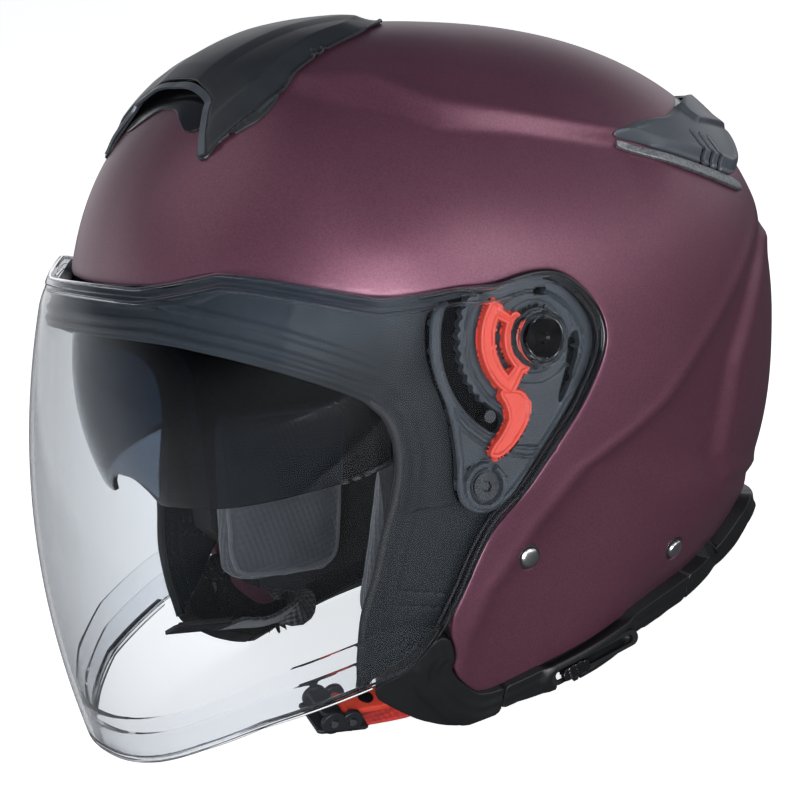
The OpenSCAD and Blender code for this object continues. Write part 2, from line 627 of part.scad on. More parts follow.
buckle_roll = 25;
roll_dir = [cos(buckle_roll), 0, -sin(buckle_roll)];
strap_start = [[111.6, -5, -79], [110.4, -5, -88], [107.2, -5, -99], [103.2, -5, -110], [99, -5.5, -118],
    [93.5, -6, -122.6], [86, -6, -124.2], [79.5, -9, -127]];
strap_across = [[0, 1, 0], [0, 1, 0], [0, 1, 0], [0, 1, 0.1], [0, 1, 0.3],
    [0, 0.93, 0.37], [0, 0.93, 0.37], [0.3, 0.9, 0.2]];
left_end = [[72, -14.5, -131.5], [64, -21, -137], [57, -27.5, -141.5], [53.5, -36, -144.6],
    [52.4, -45.7, -145.9]];
left_across = [[0.5, 0.7, -0.1], [0.7, 0.6, -0.3], [0.85, 0.25, -0.4], roll_dir, roll_dir];
right_end = [[74, -19, -129], [67, -33, -130], [60, -50, -128.5]];
right_across = [[0.5, 0.7, 0], [0.7, 0.4, -0.2], [0.85, 0.2, -0.34]];
module strap_left() color([0.80, 0.12, 0.10]) standing()
    webbing(concat(strap_start, left_end), concat(strap_across, left_across), strap_w - 8, strap_t);
module strap_right() color([0.10, 0.10, 0.11]) standing() mirror([1, 0, 0])
    webbing(concat(strap_start, right_end), concat(strap_across, right_across), strap_w - 6, strap_t);
module ratchet_tongue() color([0.10, 0.10, 0.11]) standing() mirror([1, 0, 0])
    translate([59.4, -50.4, -128.3]) rotate([0, 22, 0]) translate([-9, -28, -1.2]) cube([18, 26, 2.4]);

// The buckle, in its own frame: webbing comes in from +y, and the red tab opens upwards.
tongue_pin = [-5, 0];
tab_pin = [3, 0];
module buckle_frame() translate(buckle_place) rotate([0, buckle_roll, 0]) children();
module pin_bar(place, r, half) {
    translate([-half, place.x, place.y]) rotate([0, 90, 0]) cylinder(r = r, h = 2 * half, $fn = 24);
}
module buckle_body() color([0.16, 0.17, 0.18]) standing() buckle_frame() difference() {
    union() {
        translate([-10, -11, -4.3]) cube([20, 10.4, 8.6]);
        translate([-10, -11, -4.3]) cube([20, 22, 1.5]);
        for (x = [-9, 9]) translate([x, 0, 0]) intersection() {
            translate([-1, -1, -4.3]) cube([2, 9, 8.6]);
            pin_bar(tab_pin, 4.6, 2);
        }
    }
    translate([-8, -20, -1.6]) cube([16, 17, 3.4]);
    pin_bar(tongue_pin, 1.55, 20);
    pin_bar(tab_pin, 1.55, 20);
}
module buckle_pins() color([0.78, 0.78, 0.80]) standing() buckle_frame() {
    pin_bar(tongue_pin, 1.5, 10.6);
    pin_bar(tab_pin, 1.5, 10.6);
}
module buckle_lever() color([0.86, 0.14, 0.12]) standing() buckle_frame() difference() {
    union() {
        translate([-7, tab_pin.x, tab_pin.y]) rotate([8, 0, 0]) translate([0, 0, 0.3]) cube([14, 24, 2.2]);
        pin_bar(tab_pin, 2.5, 7);
    }
    pin_bar(tab_pin, 1.55, 20);
}
module buckle_spring() color([0.7, 0.7, 0.72]) standing() buckle_frame()
    translate([-7.5, tab_pin.x, tab_pin.y]) rotate([0, 90, 0])
        rotate_extrude($fn = 24) translate([2, 0]) circle(r = 0.3, $fn = 16);

outer_shell();
impact_liner();
crown_pad();
cheek_pad_left();
cheek_pad_right();
neck_roll();
face_frame();
eyeport_gasket();
base_plate_left();
base_plate_right();
base_screws();
pivot_screws();
face_shield();
shield_hub_left();
shield_hub_right();
ratchet_pins();
lock_lever_left();
lock_lever_right();
lever_springs();
sun_visor();
sun_visor_pins();
visor_slider();
slider_track();
visor_cable();
trim_front_left();
trim_front_right();
trim_side_left();
trim_side_right();
trim_rear();
top_vent_frame();
top_vent_slider();
rear_vent();
vent_strip_left();
vent_strip_right();
rivet_caps();
strap_left();
strap_right();
strap_anchors();
buckle_body();
buckle_pins();
buckle_lever();
buckle_spring();
ratchet_tongue();
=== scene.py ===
"""An open-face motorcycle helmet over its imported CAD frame.

Shapes are worked out in the worn frame, in millimetres: +Z up on a level head, -Y the way the
face looks, +X the wearer's left. stand() tilts them onto the rim and turns them into metres.
"""
import bmesh
import bpy
import json
import math
import numpy as np
from mathutils import Matrix, Vector
from mathutils.bvhtree import BVHTree

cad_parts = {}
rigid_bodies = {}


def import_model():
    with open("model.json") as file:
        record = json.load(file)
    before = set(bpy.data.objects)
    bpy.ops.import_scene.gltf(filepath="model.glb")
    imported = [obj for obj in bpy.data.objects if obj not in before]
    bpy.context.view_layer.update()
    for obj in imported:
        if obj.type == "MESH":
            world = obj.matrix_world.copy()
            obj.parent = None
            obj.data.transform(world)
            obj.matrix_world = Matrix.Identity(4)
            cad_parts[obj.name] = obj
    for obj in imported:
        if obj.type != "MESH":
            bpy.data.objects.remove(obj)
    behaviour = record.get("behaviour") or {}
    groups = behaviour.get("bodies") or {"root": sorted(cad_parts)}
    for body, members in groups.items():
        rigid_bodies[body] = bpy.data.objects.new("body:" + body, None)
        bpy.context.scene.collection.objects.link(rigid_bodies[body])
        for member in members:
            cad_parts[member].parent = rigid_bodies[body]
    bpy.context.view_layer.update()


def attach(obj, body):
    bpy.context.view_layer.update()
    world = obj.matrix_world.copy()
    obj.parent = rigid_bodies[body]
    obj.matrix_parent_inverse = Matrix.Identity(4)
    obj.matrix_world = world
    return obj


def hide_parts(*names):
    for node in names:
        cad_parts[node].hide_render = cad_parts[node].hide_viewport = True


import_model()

# ---------- the worn frame and its standing place ----------

TILT = math.radians(19)
STAND_Y = 7.3
RIM_DROP = 130.0
PIVOT = (-9.0, 6.0)              # shield pivot, y and z
VISOR_PIVOT = (-25.0, -12.0)     # sun visor pivot
BASE_SCREW = (-29.7, -48.8)
RIVETS = ((-8.0, -77.5), (69.6, -82.0))
PLATE_X = 121.0                  # outer face of the mechanism's base plate
PIN_ARC = 35.4                   # radius of the toothed slot about the pivot
POWER = 2.35                     # how square the shell and the shield are in section
FINE = 1.0
MM = 0.001
CAMERA_PLACE = (967.918, -521.141, 78.186)   # worn frame, fitted to the photo's outline
CAMERA_TURN = (61.7, 5.56, 0.31)             # azimuth, elevation and roll in degrees


def stand(p):
    """Worn frame in mm to the row frame in metres; p ends in an axis of three."""
    p = np.asarray(p, float)
    x, y, z = p[..., 0], p[..., 1], p[..., 2]
    out = np.stack([x,
                    STAND_Y + y * math.cos(TILT) + z * math.sin(TILT),
                    RIM_DROP - y * math.sin(TILT) + z * math.cos(TILT)], -1)
    return out * MM


def worn(p):
    """The reverse of stand for one point."""
    x, y, z = p[0] / MM, p[1] / MM - STAND_Y, p[2] / MM - RIM_DROP
    return x, y * math.cos(TILT) - z * math.sin(TILT), y * math.sin(TILT) + z * math.cos(TILT)


def turn(p):
    """A direction of the worn frame in the row frame."""
    x, y, z = p
    return Vector((x, y * math.cos(TILT) + z * math.sin(TILT), -y * math.sin(TILT) + z * math.cos(TILT)))


def smooth(t):
    c = np.clip(t, 0, 1)
    return c * c * (3 - 2 * c)


def lerp(a, b, t):
    return a + (b - a) * t


def spread(lo, hi, count):
    return np.linspace(lo, hi, int(count / FINE))


def spread_round(count):
    """Even angles once round."""
    return np.linspace(0, 2 * math.pi, int(count / FINE), endpoint=False)


def along(points, x):
    """Height at x of an outline whose first numbers rise."""
    xs, ys = zip(*points)
    return np.interp(x, xs, ys)


# ---------- outlines, y and z in the worn frame ----------

BROW_EDGE = [(-170, 21.5), (-129, 21.5), (-118, 29.5), (-109, 28.5), (-84, 23.5), (-69, 21)]
RECESS_EDGE = [(-57, 22.5), (-41, 25.5), (-29, 26), (-18, 29.5), (-7, 31.5), (2, 30), (11, 24),
               (18, 16), (21, 7), (20, -1), (16, -10), (10, -21), (1, -33), (-7, -44), (-13, -52),
               (-20, -58), (-25, -64), (-30, -75), (-34, -88), (-39, -103)]
CHEEK_EDGE = [(-32, -116), (-35, -120), (-24, -129.5), (-18, -132), (-9, -129.5)]
TAIL_EDGE = [(12, -121), (47, -107.5), (89, -96), (105, -90), (122, -72), (132, -66), (200, -66)]
PAINTED = BROW_EDGE + RECESS_EDGE + CHEEK_EDGE + TAIL_EDGE + [(200, 200), (-170, 200)]
TRIM_BOTTOM = [(-64, -128.5), (-52, -136.5), (-37, -143.5), (-20, -145.5), (-11, -142.5), (-9, -138),
               (8, -134.5), (35, -125.5), (65, -116), (89, -107), (117, -92), (130, -74), (200, -74)]
EYE_PORT = [(-170, 2), (-135, 3.5), (-110, -3.5), (-86, -11.5), (-72, -17), (-64.5, -25),
            (-61, -38), (-61.5, -52), (-64.5, -69), (-66, -85), (-68, -100), (-67, -116),
            (-64, -129), (-64, -160), (-170, -160)]
BASE_PLATE = [(-52, 19), (-40, 22), (-28, 23), (-16, 27), (-5, 28), (5, 24), (14, 15), (17.5, 6),
              (16, -3), (12, -12), (5, -24), (-4, -36), (-12, -48), (-20, -56), (-29, -60), (-38, -58),
              (-42, -50), (-41, -42), (-45, -20), (-52, -7), (-54, 8)]
SHIELD_TOP = [(-170, 24), (-136, 23), (-118.5, 30), (-109, 29), (-85, 24), (-72, 21.5), (-60, 23),
              (-43, 25.5), (-29, 26), (-18, 28.5), (-7, 29.5), (1, 28), (9, 22.5), (15.5, 15), (18, 7)]
SHIELD_BACK = [(17.5, -1), (13.5, -11), (8, -21), (-1, -34), (-9, -45), (-15, -53), (-23, -61),
               (-27, -66), (-32, -76), (-36, -89), (-45, -108), (-52, -118)]
SHIELD_BOTTOM = [(-56, -121), (-66, -125), (-85, -134), (-100, -141), (-115, -152), (-124, -160),
                 (-132, -166), (-170, -170)]
VISOR_OUTLINE = [(-25, 6), (-60, 16), (-100, 17), (-170, 14), (-170, -66), (-121, -66), (-116, -62),
                 (-112, -62), (-100, -58), (-84, -52), (-64, -46), (-30, -24), (-16, -20), (-12, -12),
                 (-17, 2)]


def rounded(points, radius=4.0, closed=True):
    """The outline with its corners eased by one pass of corner cutting."""
    out = []
    n = len(points)
    for i, b in enumerate(points):
        a, c = points[i - 1], points[(i + 1) % n]
        if not closed and i in (0, n - 1):
            out.append(b)
            continue
        for end in (a, c):
            d = math.dist(b, end) + 1e-9
            t = min(radius, d * 0.3) / d
            out.append((b[0] + (end[0] - b[0]) * t, b[1] + (end[1] - b[1]) * t))
    return out


def soften(points):
    """Closed outline with eased corners, ready for inside()."""
    return rounded(rounded(points, 5.0), 1.6)


def line_distance(points, a, b, closed):
    """Distance of places (a, b) to a polyline."""
    best = np.full(np.shape(a), 1e9)
    pairs = zip(points, points[1:] + points[:1]) if closed else zip(points, points[1:])
    for (x0, y0), (x1, y1) in pairs:
        dx, dy = x1 - x0, y1 - y0
        t = np.clip(((a - x0) * dx + (b - y0) * dy) / (dx * dx + dy * dy + 1e-12), 0, 1)
        best = np.minimum(best, np.hypot(a - x0 - t * dx, b - y0 - t * dy))
    return best


def inside(points, a, b):
    """Signed distance of places (a, b) to a closed outline, positive inside."""
    odd = np.zeros(np.shape(a), bool)
    for (x0, y0), (x1, y1) in zip(points, points[1:] + points[:1]):
        if y0 == y1:
            continue
        crosses = (y0 > b) != (y1 > b)
        odd ^= crosses & (a < (x1 - x0) * (b - y0) / (y1 - y0) + x0)
    return np.where(odd, 1.0, -1.0) * line_distance(points, a, b, True)


def side(points, offset=0.0):
    """A region test for patch(): inside a side-view outline, pulled in by offset."""
    outline = soften(points)
    return lambda p: inside(outline, p[..., 1], p[..., 2]) - offset


def both(*tests):
    return lambda p: np.minimum.reduce([t(p) for t in tests])


def cut_out(test):
    return lambda p: -test(p)


# ---------- surfaces ----------

def shell_radius(d):
    flat = np.hypot(d[..., 0], d[..., 1]) + 1e-9
    back = d[..., 1] / flat
    length = lerp(133, 157, smooth(0.5 + 0.75 * back))
    low = lerp(200, 135, smooth((back - 0.15) / 0.7))
    inverse_h = lerp(1 / low, 1 / 126.5, smooth((d[..., 2] + 0.25) / 0.5))
    total = (np.abs(d[..., 0]) / 126) ** POWER + (np.abs(d[..., 1]) / length) ** POWER
    total = total + (np.abs(d[..., 2]) * inverse_h) ** POWER
    tail = 5 * smooth((d[..., 1] - 0.35) / 0.3) * smooth((-d[..., 2] - 0.3) / 0.12)
    return total ** (-1 / POWER) + tail


CREST_UPPER = [(-80, 102), (-53, 103), (-45, 98), (-34, 93), (-4, 89), (33, 83), (60, 80)]
CREST_LOWER = [(-80, 96), (-50, 90), (-38, 84), (-6, 83), (32, 79), (60, 76)]
DIAGONAL = [(150, 84), (113, 43), (103, 34), (79, 10), (51, -20), (38, -29), (11, -45), (-7, -65),
            (-24, -90), (-30, -110)]
REAR_PANEL = [(200, 55), (121, 44), (106, 20), (92, -8), (86, -46), (96, -58), (200, -60)]


def relief(p):
    """Folds in the painted surface: how far it stands in or out of the plain shape."""
    y, z = p[..., 1], p[..., 2]
    upper, lower = along(CREST_UPPER, y), along(CREST_LOWER, y)
    under_crest = np.clip((upper - z) / (upper - lower), 0, 1)
    crest = 0.9 * np.exp(-((z - upper) / 4.0) ** 2) - 3.0 * under_crest * smooth((z - 35) / 45)
    crest = crest * smooth((y + 88) / 20) * smooth((62 - y) / 20)
    diagonal = [(b, a) for a, b in reversed(DIAGONAL)]
    past = y - along(diagonal, z)
    fold = -4.8 * (1 - np.exp(-np.maximum(past, 0) / 14)) + 0.5 * np.exp(-(past / 5) ** 2)
    fold = fold * smooth((60 - z) / 30)
    rear = inside(REAR_PANEL, y, z)
    panel = 3.4 * np.clip((rear + 1) / 6, 0, 1)
    return crest + fold + panel


def direction(az, el):
    return np.stack([np.cos(el) * np.cos(az), np.cos(el) * np.sin(az), np.sin(el)], -1)


def shell_at(offset=0.0, folds=True, extra=None):
    """The shell's surface moved outwards by offset, as a function of azimuth and elevation."""
    def surface(az, el):
        d = direction(az, el)
        p = d * shell_radius(d)[..., None]
        out = offset + (relief(p) if folds else 0.0)
        if extra is not None:
            out = out + extra(p)
        return p + d * np.asarray(out)[..., None]
    return surface


def shield_reach(z, t):
    """Half width and reach in front of the pivot at height z, t inside the shield's outer face."""
    below_middle = np.abs(np.minimum(z, 0)) / 205
    w = 128.5 * (1 - below_middle ** POWER) ** (1 / POWER) - t
    f = 142 - 0.00154 * (z + 48) ** 2 - 3.5 * smooth((z - 10) / 20) - t
    return w, f


def shield_place(s, z, t):
    """Point of the shield at height z, t inside its outer face; s is in degrees from the front."""
    a = np.minimum(90, np.abs(s))
    w, f = shield_reach(z, t)
    back = np.maximum(0, np.abs(s) - 90) * 1.1
    r = np.radians(a)
    x = np.sign(s) * w * np.sin(r) ** (2 / POWER)
    y = PIVOT[0] - f * (np.cos(r) + 1e-9) ** (2 / POWER) + back
    return np.stack([x, y, z + 0 * x], -1)


# ---------- meshes ----------

def partials(surface, u, v, h=1e-4):
    du = (surface(u + h, v) - surface(u - h, v)) / (2 * h)
    dv = (surface(u, v + h) - surface(u, v - h)) / (2 * h)
    return du, dv


def to_edge(surface, test, u, v, h):
    """Tangential gradient of test: in the parameters, its squared size, and in space."""
    du, dv = partials(surface, u, v, h)
    su = (test(surface(u + h, v)) - test(surface(u - h, v))) / (2 * h)
    sv = (test(surface(u, v + h)) - test(surface(u, v - h))) / (2 * h)
    e, f, g = (du * du).sum(-1), (du * dv).sum(-1), (dv * dv).sum(-1)
    det = e * g - f * f + 1e-9
    a, b = (g * su - f * sv) / det, (e * sv - f * su) / det
    return a, b, su * a + sv * b, du * a[..., None] + dv * b[..., None]


def add_object(name, data):
    obj = bpy.data.objects.new(name, data)
    bpy.context.scene.collection.objects.link(obj)
    return obj


def new_object(name, verts, faces, material, body="helmet", sharp=40, replaces=()):
    """A mesh with its material and shading, the body it rides and the CAD nodes it stands for."""
    mesh = bpy.data.meshes.new(name)
    mesh.from_pydata(np.asarray(verts).tolist(), [], faces)
    mesh.validate()
    obj = add_object(name, mesh)
    mesh.materials.append(material)
    if sharp:
        mesh.shade_smooth()
        mesh.set_sharp_from_angle(angle=math.radians(sharp))
    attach(obj, body)
    if replaces:
        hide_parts(*replaces)
    return obj


def near_border(s):
    """Marks the grid places closest to where the test s changes sign."""
    edge = np.zeros(s.shape, bool)
    for values, marks in ((s, edge), (s.T, edge.T)):
        a, b = values[:-1], values[1:]
        cross = (a > 0) != (b > 0)
        near_a = cross & (np.abs(a) <= np.abs(b))
        marks[:-1] |= near_a
        marks[1:] |= cross & ~near_a
    return edge


def snap(surface, test, u, v, steps, h):
    """Moves places to the test's border by Newton steps, each shorter than a grid cell."""
    for _ in range(5):
        a, b, size, _ = to_edge(surface, test, u, v, h)
        step = np.clip(test(surface(u, v)) / np.maximum(size, 1e-6), -1e3, 1e3)
        u = u - np.clip(a * step, -steps[0], steps[0])
        v = v - np.clip(b * step, -steps[1], steps[1])
    return u, v


def kept_faces(s, points, test, wrap):
    """Quads and corner triangles of the grid where the test s isn't negative."""
    sign = np.where(np.abs(s) < 1e-6, 0, np.sign(s))
    index = np.arange(s.size).reshape(s.shape)
    if wrap:
        index = np.vstack([index, index[:1]])
        sign = np.vstack([sign, sign[:1]])

    def corners(a):
        return np.stack([a[:-1, :-1], a[1:, :-1], a[1:, 1:], a[:-1, 1:]], -1).reshape(-1, 4)
    quads, signs = corners(index), corners(sign)
    low, high = signs.min(1), signs.max(1)
    keep = (low >= 0) & (high > 0)
    flat = (low == 0) & (high == 0)
    if test and flat.any():
        keep[flat] = test(points[quads[flat]].mean(1)) > 0
    faces = quads[keep].tolist()
    mixed = (low < 0) & (high > 0)
    for quad, marks in zip(quads[mixed], signs[mixed]):
        good = [int(q) for q, mark in zip(quad, marks) if mark >= 0]
        if len(good) == 3:
            faces.append(good)
    return faces


def open_edges(faces):
    """Edges with a face on one side only, in the order of their faces."""
    seen = {}
    for f in faces:
        for a, b in zip(f, f[1:] + f[:1]):
            seen[(a, b)] = True
    return [(a, b) for a, b in seen if (b, a) not in seen]


RIM_CURVE = [math.radians(x) for x in (30, 60, 90)]


def patch(surface, us, vs, test=None, wall=2.0, bevel=0.6, flip=False, wrap=False):
    """Vertices and faces of a wall: the part of surface where test is positive, with rounded rims."""
    u, v = np.meshgrid(us, vs, indexing="ij")
    h = 1e-4 * (abs(us[-1] - us[0]) + 1e-3)
    inner_test = (lambda p: test(p) - bevel) if test else None
    p, s = surface(u, v), np.ones(u.shape)
    if test:
        edge = near_border(inner_test(p))
        steps = 0.7 * abs(us[1] - us[0]), 0.7 * abs(vs[1] - vs[0])
        u[edge], v[edge] = snap(surface, inner_test, u[edge], v[edge], steps, h)
        p = surface(u, v)
        s = inner_test(p)
        s[edge] = 0
    points = p.reshape(-1, 3)
    faces = kept_faces(s, points, inner_test, wrap)
    normal = np.cross(*partials(surface, u, v, h)).reshape(-1, 3)
    normal /= np.linalg.norm(normal, axis=1)[:, None] + 1e-12
    if flip:
        faces, normal = [f[::-1] for f in faces], -normal
    border = open_edges(faces)
    used = sorted({i for f in faces for i in f})
    n = len(used)
    new_of = {old: k for k, old in enumerate(used)}
    verts = [points[i] for i in used] + [points[i] - normal[i] * wall for i in used]
    outer = [[new_of[i] for i in f] for f in faces]
    out_faces = outer + [[i + n for i in reversed(f)] for f in outer]
    if not border:
        return np.array(verts), out_faces
    ends = sorted({i for e in border for i in e})
    if test:
        *_, slope = to_edge(surface, inner_test, u.reshape(-1)[ends], v.reshape(-1)[ends], h)
        away = -slope / (np.linalg.norm(slope, axis=1)[:, None] + 1e-9)
    rim_of = {}
    for k, i in enumerate(ends):
        rim_of[i] = [new_of[i]]
        if test and bevel:
            sides = [(math.sin(a), bevel * (1 - math.cos(a))) for a in RIM_CURVE] + [(1, max(wall, bevel))]
            for out, down in sides:
                rim_of[i].append(len(verts))
                verts.append(points[i] + away[k] * bevel * out - normal[i] * down)
        rim_of[i].append(new_of[i] + n)
    for a, b in border:
        for k in range(len(rim_of[a]) - 1):
            out_faces.append([rim_of[b][k], rim_of[a][k], rim_of[a][k + 1], rim_of[b][k + 1]])
    return np.array(verts), out_faces


def mirrored(verts, faces):
    """The same mesh on the other side, joined to this one."""
    n = len(verts)
    other = np.array(verts) * (-1, 1, 1)
    return np.vstack([verts, other]), faces + [[i + n for i in reversed(f)] for f in faces]


def flipped(verts, faces):
    return np.array(verts) * (-1, 1, 1), [f[::-1] for f in faces]


def placed(mesh, rotation, place):
    """The mesh turned by a rotation matrix and moved to place."""
    return np.array([rotation @ Vector(v) for v in mesh[0]]) + place, mesh[1]


def joined(*parts):
    """Several (vertices, faces) pairs as one."""
    verts, faces, n = [], [], 0
    for v, f in parts:
        verts.append(np.asarray(v, float))
        faces += [[i + n for i in face] for face in f]
        n += len(v)
    return np.vstack(verts), faces


def piece(name, mesh, material, body="helmet", sharp=40, replaces=()):
    """A piece from worn-frame vertices and faces."""
    verts, faces = mesh
    return new_object(name, stand(verts), faces, material, body, sharp, replaces)


def turned(place, profile, steps=64):
    """Solid turned about an X line through place; profile lists (x, radius)."""
    profile = np.array(profile, float)
    a = np.linspace(0, 2 * math.pi, steps, endpoint=False)
    n = len(profile)
    verts = np.vstack([np.stack([np.full(steps, x), place[0] + r * np.cos(a), place[1] + r * np.sin(a)], -1)
                       for x, r in profile])
    faces = []
    for k in range(n - 1):
        for i in range(steps):
            j = (i + 1) % steps
            faces.append([k * steps + i, k * steps + j, (k + 1) * steps + j, (k + 1) * steps + i][::-1])
    for k, order in ((0, 1), (n - 1, -1)):
        if profile[k][1] > 1e-6:
            faces.append([k * steps + i for i in range(steps)][::order])
    return verts, faces


def spline(points, count, closed=False):
    """Even points on a smooth curve through points."""
    p = np.array(points, float)
    n = len(p)
    out = []
    spans = n if closed else n - 1
    for i in range(spans):
        if closed:
            a, b, c, d = p[i - 1], p[i], p[(i + 1) % n], p[(i + 2) % n]
        else:
            a, b, c, d = p[max(i - 1, 0)], p[i], p[i + 1], p[min(i + 2, n - 1)]
        for t in np.linspace(0, 1, 12, endpoint=False):
            out.append(0.5 * (2 * b + (c - a) * t + (2 * a - 5 * b + 4 * c - d) * t * t
                              + (3 * b - a - 3 * c + d) * t ** 3))
    out.append(p[0] if closed else p[-1])
    out = np.array(out)
    length = np.concatenate([[0], np.cumsum(np.linalg.norm(np.diff(out, axis=0), axis=1))])
    at = np.linspace(0, length[-1], count + (1 if closed else 0))
    even = np.stack([np.interp(at, length, out[:, k]) for k in range(3)], -1)
    return even[:-1] if closed else even


def sweep(path, across, section, closed=False):
    """Section of (across, up) offsets carried along a path; across holds one direction per point."""
    path = np.asarray(path, float)
    across = np.broadcast_to(np.asarray(across, float), path.shape)
    if closed:
        along_path = np.roll(path, -1, 0) - np.roll(path, 1, 0)
    else:
        along_path = np.gradient(path, axis=0)
    along_path = along_path / (np.linalg.norm(along_path, axis=1)[:, None] + 1e-12)
    u = across - (across * along_path).sum(1)[:, None] * along_path
    u /= np.linalg.norm(u, axis=1)[:, None] + 1e-12
    w = np.cross(along_path, u)
    section = np.asarray(section, float)
    m, n = len(section), len(path)
    verts = path[:, None] + u[:, None] * section[None, :, :1] + w[:, None] * section[None, :, 1:]
    faces = []
    for i in range(n if closed else n - 1):
        j = (i + 1) % n
        for k in range(m):
            l = (k + 1) % m
            faces.append([i * m + k, i * m + l, j * m + l, j * m + k][::-1])
    if not closed:
        faces.append(list(range(m)))
        faces.append([(n - 1) * m + k for k in range(m)][::-1])
    return verts.reshape(-1, 3), faces


def round_bar(r, sides, tall=None):
    """A round section, or an oval one whose other radius is tall."""
    turns = [2 * math.pi * k / sides for k in range(sides)]
    return [(r * math.cos(a), (tall or r) * math.sin(a)) for a in turns]


def strap_section(w, t):
    """Webbing's section: flat, with rounded selvedges."""
    out = []
    for end in (1, -1):
        for k in range(7):
            a = math.radians(-90 + 30 * k)
            out.append((end * (w / 2 - t / 2 + t / 2 * math.cos(a)), end * t / 2 * math.sin(a)))
    return out


def flat(x, height=None):
    """The plane at x seen from the side, with a height map over it."""
    def surface(y, z):
        h = height(y, z) if height else 0.0
        return np.stack([x + h + 0 * y, y, z], -1)
    return surface


def grid(lo, hi, step):
    return np.linspace(lo, hi, max(3, int(round((hi - lo) / (step * FINE))) + 1))


def circle(place, r):
    """Signed distance inside a side-view circle."""
    return lambda p: r - np.hypot(p[..., 1] - place[0], p[..., 2] - place[1])


def polar(place, y, z):
    """Radius and angle about a side-view place; the angle is 0 towards the face and grows upwards."""
    return np.hypot(y - place[0], z - place[1]), np.degrees(np.arctan2(z - place[1], -(y - place[0])))


def sector(place, r0, r1, a0, a1, square=False):
    """Signed distance inside a ring sector about place, with rounded or square ends."""
    middle, half, radius = (a0 + a1) / 2, (a1 - a0) / 2, (r0 + r1) / 2

    def test(p):
        r, a = polar(place, p[..., 1], p[..., 2])
        over = np.abs((a - middle + 180) % 360 - 180) - half
        if square:
            return np.minimum((r1 - r0) / 2 - np.abs(r - radius), -np.radians(over) * radius)
        over = np.maximum(over, 0)
        return (r1 - r0) / 2 - np.hypot(r - radius, np.radians(over) * radius)
    return test


def window(axis, lo, hi):
    return lambda p: np.minimum(p[..., axis] - lo, hi - p[..., axis])


def box2(y0, y1, z0, z1):
    return both(window(1, y0, y1), window(2, z0, z1))


def slab(half_x, y0, y1):
    """A rectangle in the top view, centred on x."""
    return both(window(0, -half_x, half_x), window(1, y0, y1))


def capsule(a, b, r):
    return lambda p: r - line_distance([a, b], p[..., 1], p[..., 2], False)


def raised_line(away, half, soft=0.4):
    """1 within half of the places where away is 0, easing to 0 over soft."""
    return smooth((half - np.abs(away)) / soft + 0.5)


def any_of(*tests):
    return lambda p: np.maximum.reduce([t(p) for t in tests])


def at_yz(test, y, z):
    """A region test read at a side-view place."""
    return test(np.stack([0 * y, y, z], -1))


# ---------- materials ----------

def node(tree, kind, **values):
    """A shader node with its sockets and settings; an underscore in a name stands for a space."""
    n = tree.nodes.new("ShaderNode" + kind)
    for key, value in values.items():
        if key.replace("_", " ") in n.inputs:
            n.inputs[key.replace("_", " ")].default_value = value
        else:
            setattr(n, key, value)
    return n


def wire(tree, source, output, target, socket):
    tree.links.new(source.outputs[output], target.inputs[socket])


def ahead_of(bsdf, socket):
    """What feeds a shader's socket now."""
    return bsdf.inputs[socket].links[0].from_socket


def new_material(name):
    """A material with its node tree, its shader and its texture coordinates."""
    mat = bpy.data.materials.new(name)
    mat.use_nodes = True
    t = mat.node_tree
    return mat, t, t.nodes["Principled BSDF"], node(t, "TexCoord")


def parts_of(mat):
    """Node tree, shader and texture coordinates of a look."""
    t = mat.node_tree
    return t, t.nodes["Principled BSDF"], [n for n in t.nodes if n.type == "TEX_COORD"][0]


def two_colours(tree, dark, light, start=0.0, end=1.0):
    """A colour ramp from dark to light."""
    ramp = node(tree, "ValToRGB")
    for stop, position, colour in zip(ramp.color_ramp.elements, (start, end), (dark, light)):
        stop.position, stop.color = position, (*colour, 1)
    return ramp


def look(name, dark, light, rough=(0.4, 0.5), metallic=0.0, grain=(0.5, 0.0), mottle=0.02, **shader):
    """Moulded or coated surface: colour between dark and light, grain = (bump size in mm, strength)."""
    mat, t, bsdf, place = new_material(name)
    cloudy = node(t, "TexNoise", Scale=1 / mottle, Detail=5.0, Roughness=0.6)
    fine = node(t, "TexNoise", Scale=1000 / grain[0], Detail=3.0, Roughness=0.7)
    wire(t, place, "Object", cloudy, "Vector")
    wire(t, place, "Object", fine, "Vector")
    ramp = two_colours(t, dark, light, 0.3, 0.72)
    both_noises = node(t, "Mix", data_type="FLOAT", Factor=0.45)
    wire(t, cloudy, "Fac", both_noises, 2)
    wire(t, fine, "Fac", both_noises, 3)
    wire(t, both_noises, 0, ramp, "Fac")
    wire(t, ramp, "Color", bsdf, "Base Color")
    rougher = node(t, "MapRange", To_Min=rough[0], To_Max=rough[1])
    wire(t, cloudy, "Fac", rougher, "Value")
    wire(t, rougher, "Result", bsdf, "Roughness")
    bsdf.inputs["Metallic"].default_value = metallic
    if grain[1]:
        bump = node(t, "Bump", Strength=grain[1], Distance=grain[0] * 0.0004)
        wire(t, fine, "Fac", bump, "Height")
        wire(t, bump, "Normal", bsdf, "Normal")
    for key, value in shader.items():
        bsdf.inputs[key.replace("_", " ")].default_value = value
    return mat


def lighter_above(mat, low, high, times):
    """Multiplies a look's colour by times above the height high, and by one below low, in metres."""
    t, bsdf, place = parts_of(mat)
    axes = node(t, "SeparateXYZ")
    grow = node(t, "MapRange", interpolation_type="SMOOTHSTEP", From_Min=low, From_Max=high, To_Max=times)
    grow.inputs["To Min"].default_value = 1.0
    product = node(t, "VectorMath", operation="SCALE")
    wire(t, place, "Object", axes, "Vector")
    wire(t, axes, "Z", grow, "Value")
    t.links.new(ahead_of(bsdf, "Base Color"), product.inputs[0])
    wire(t, grow, "Result", product, "Scale")
    wire(t, product, "Vector", bsdf, "Base Color")


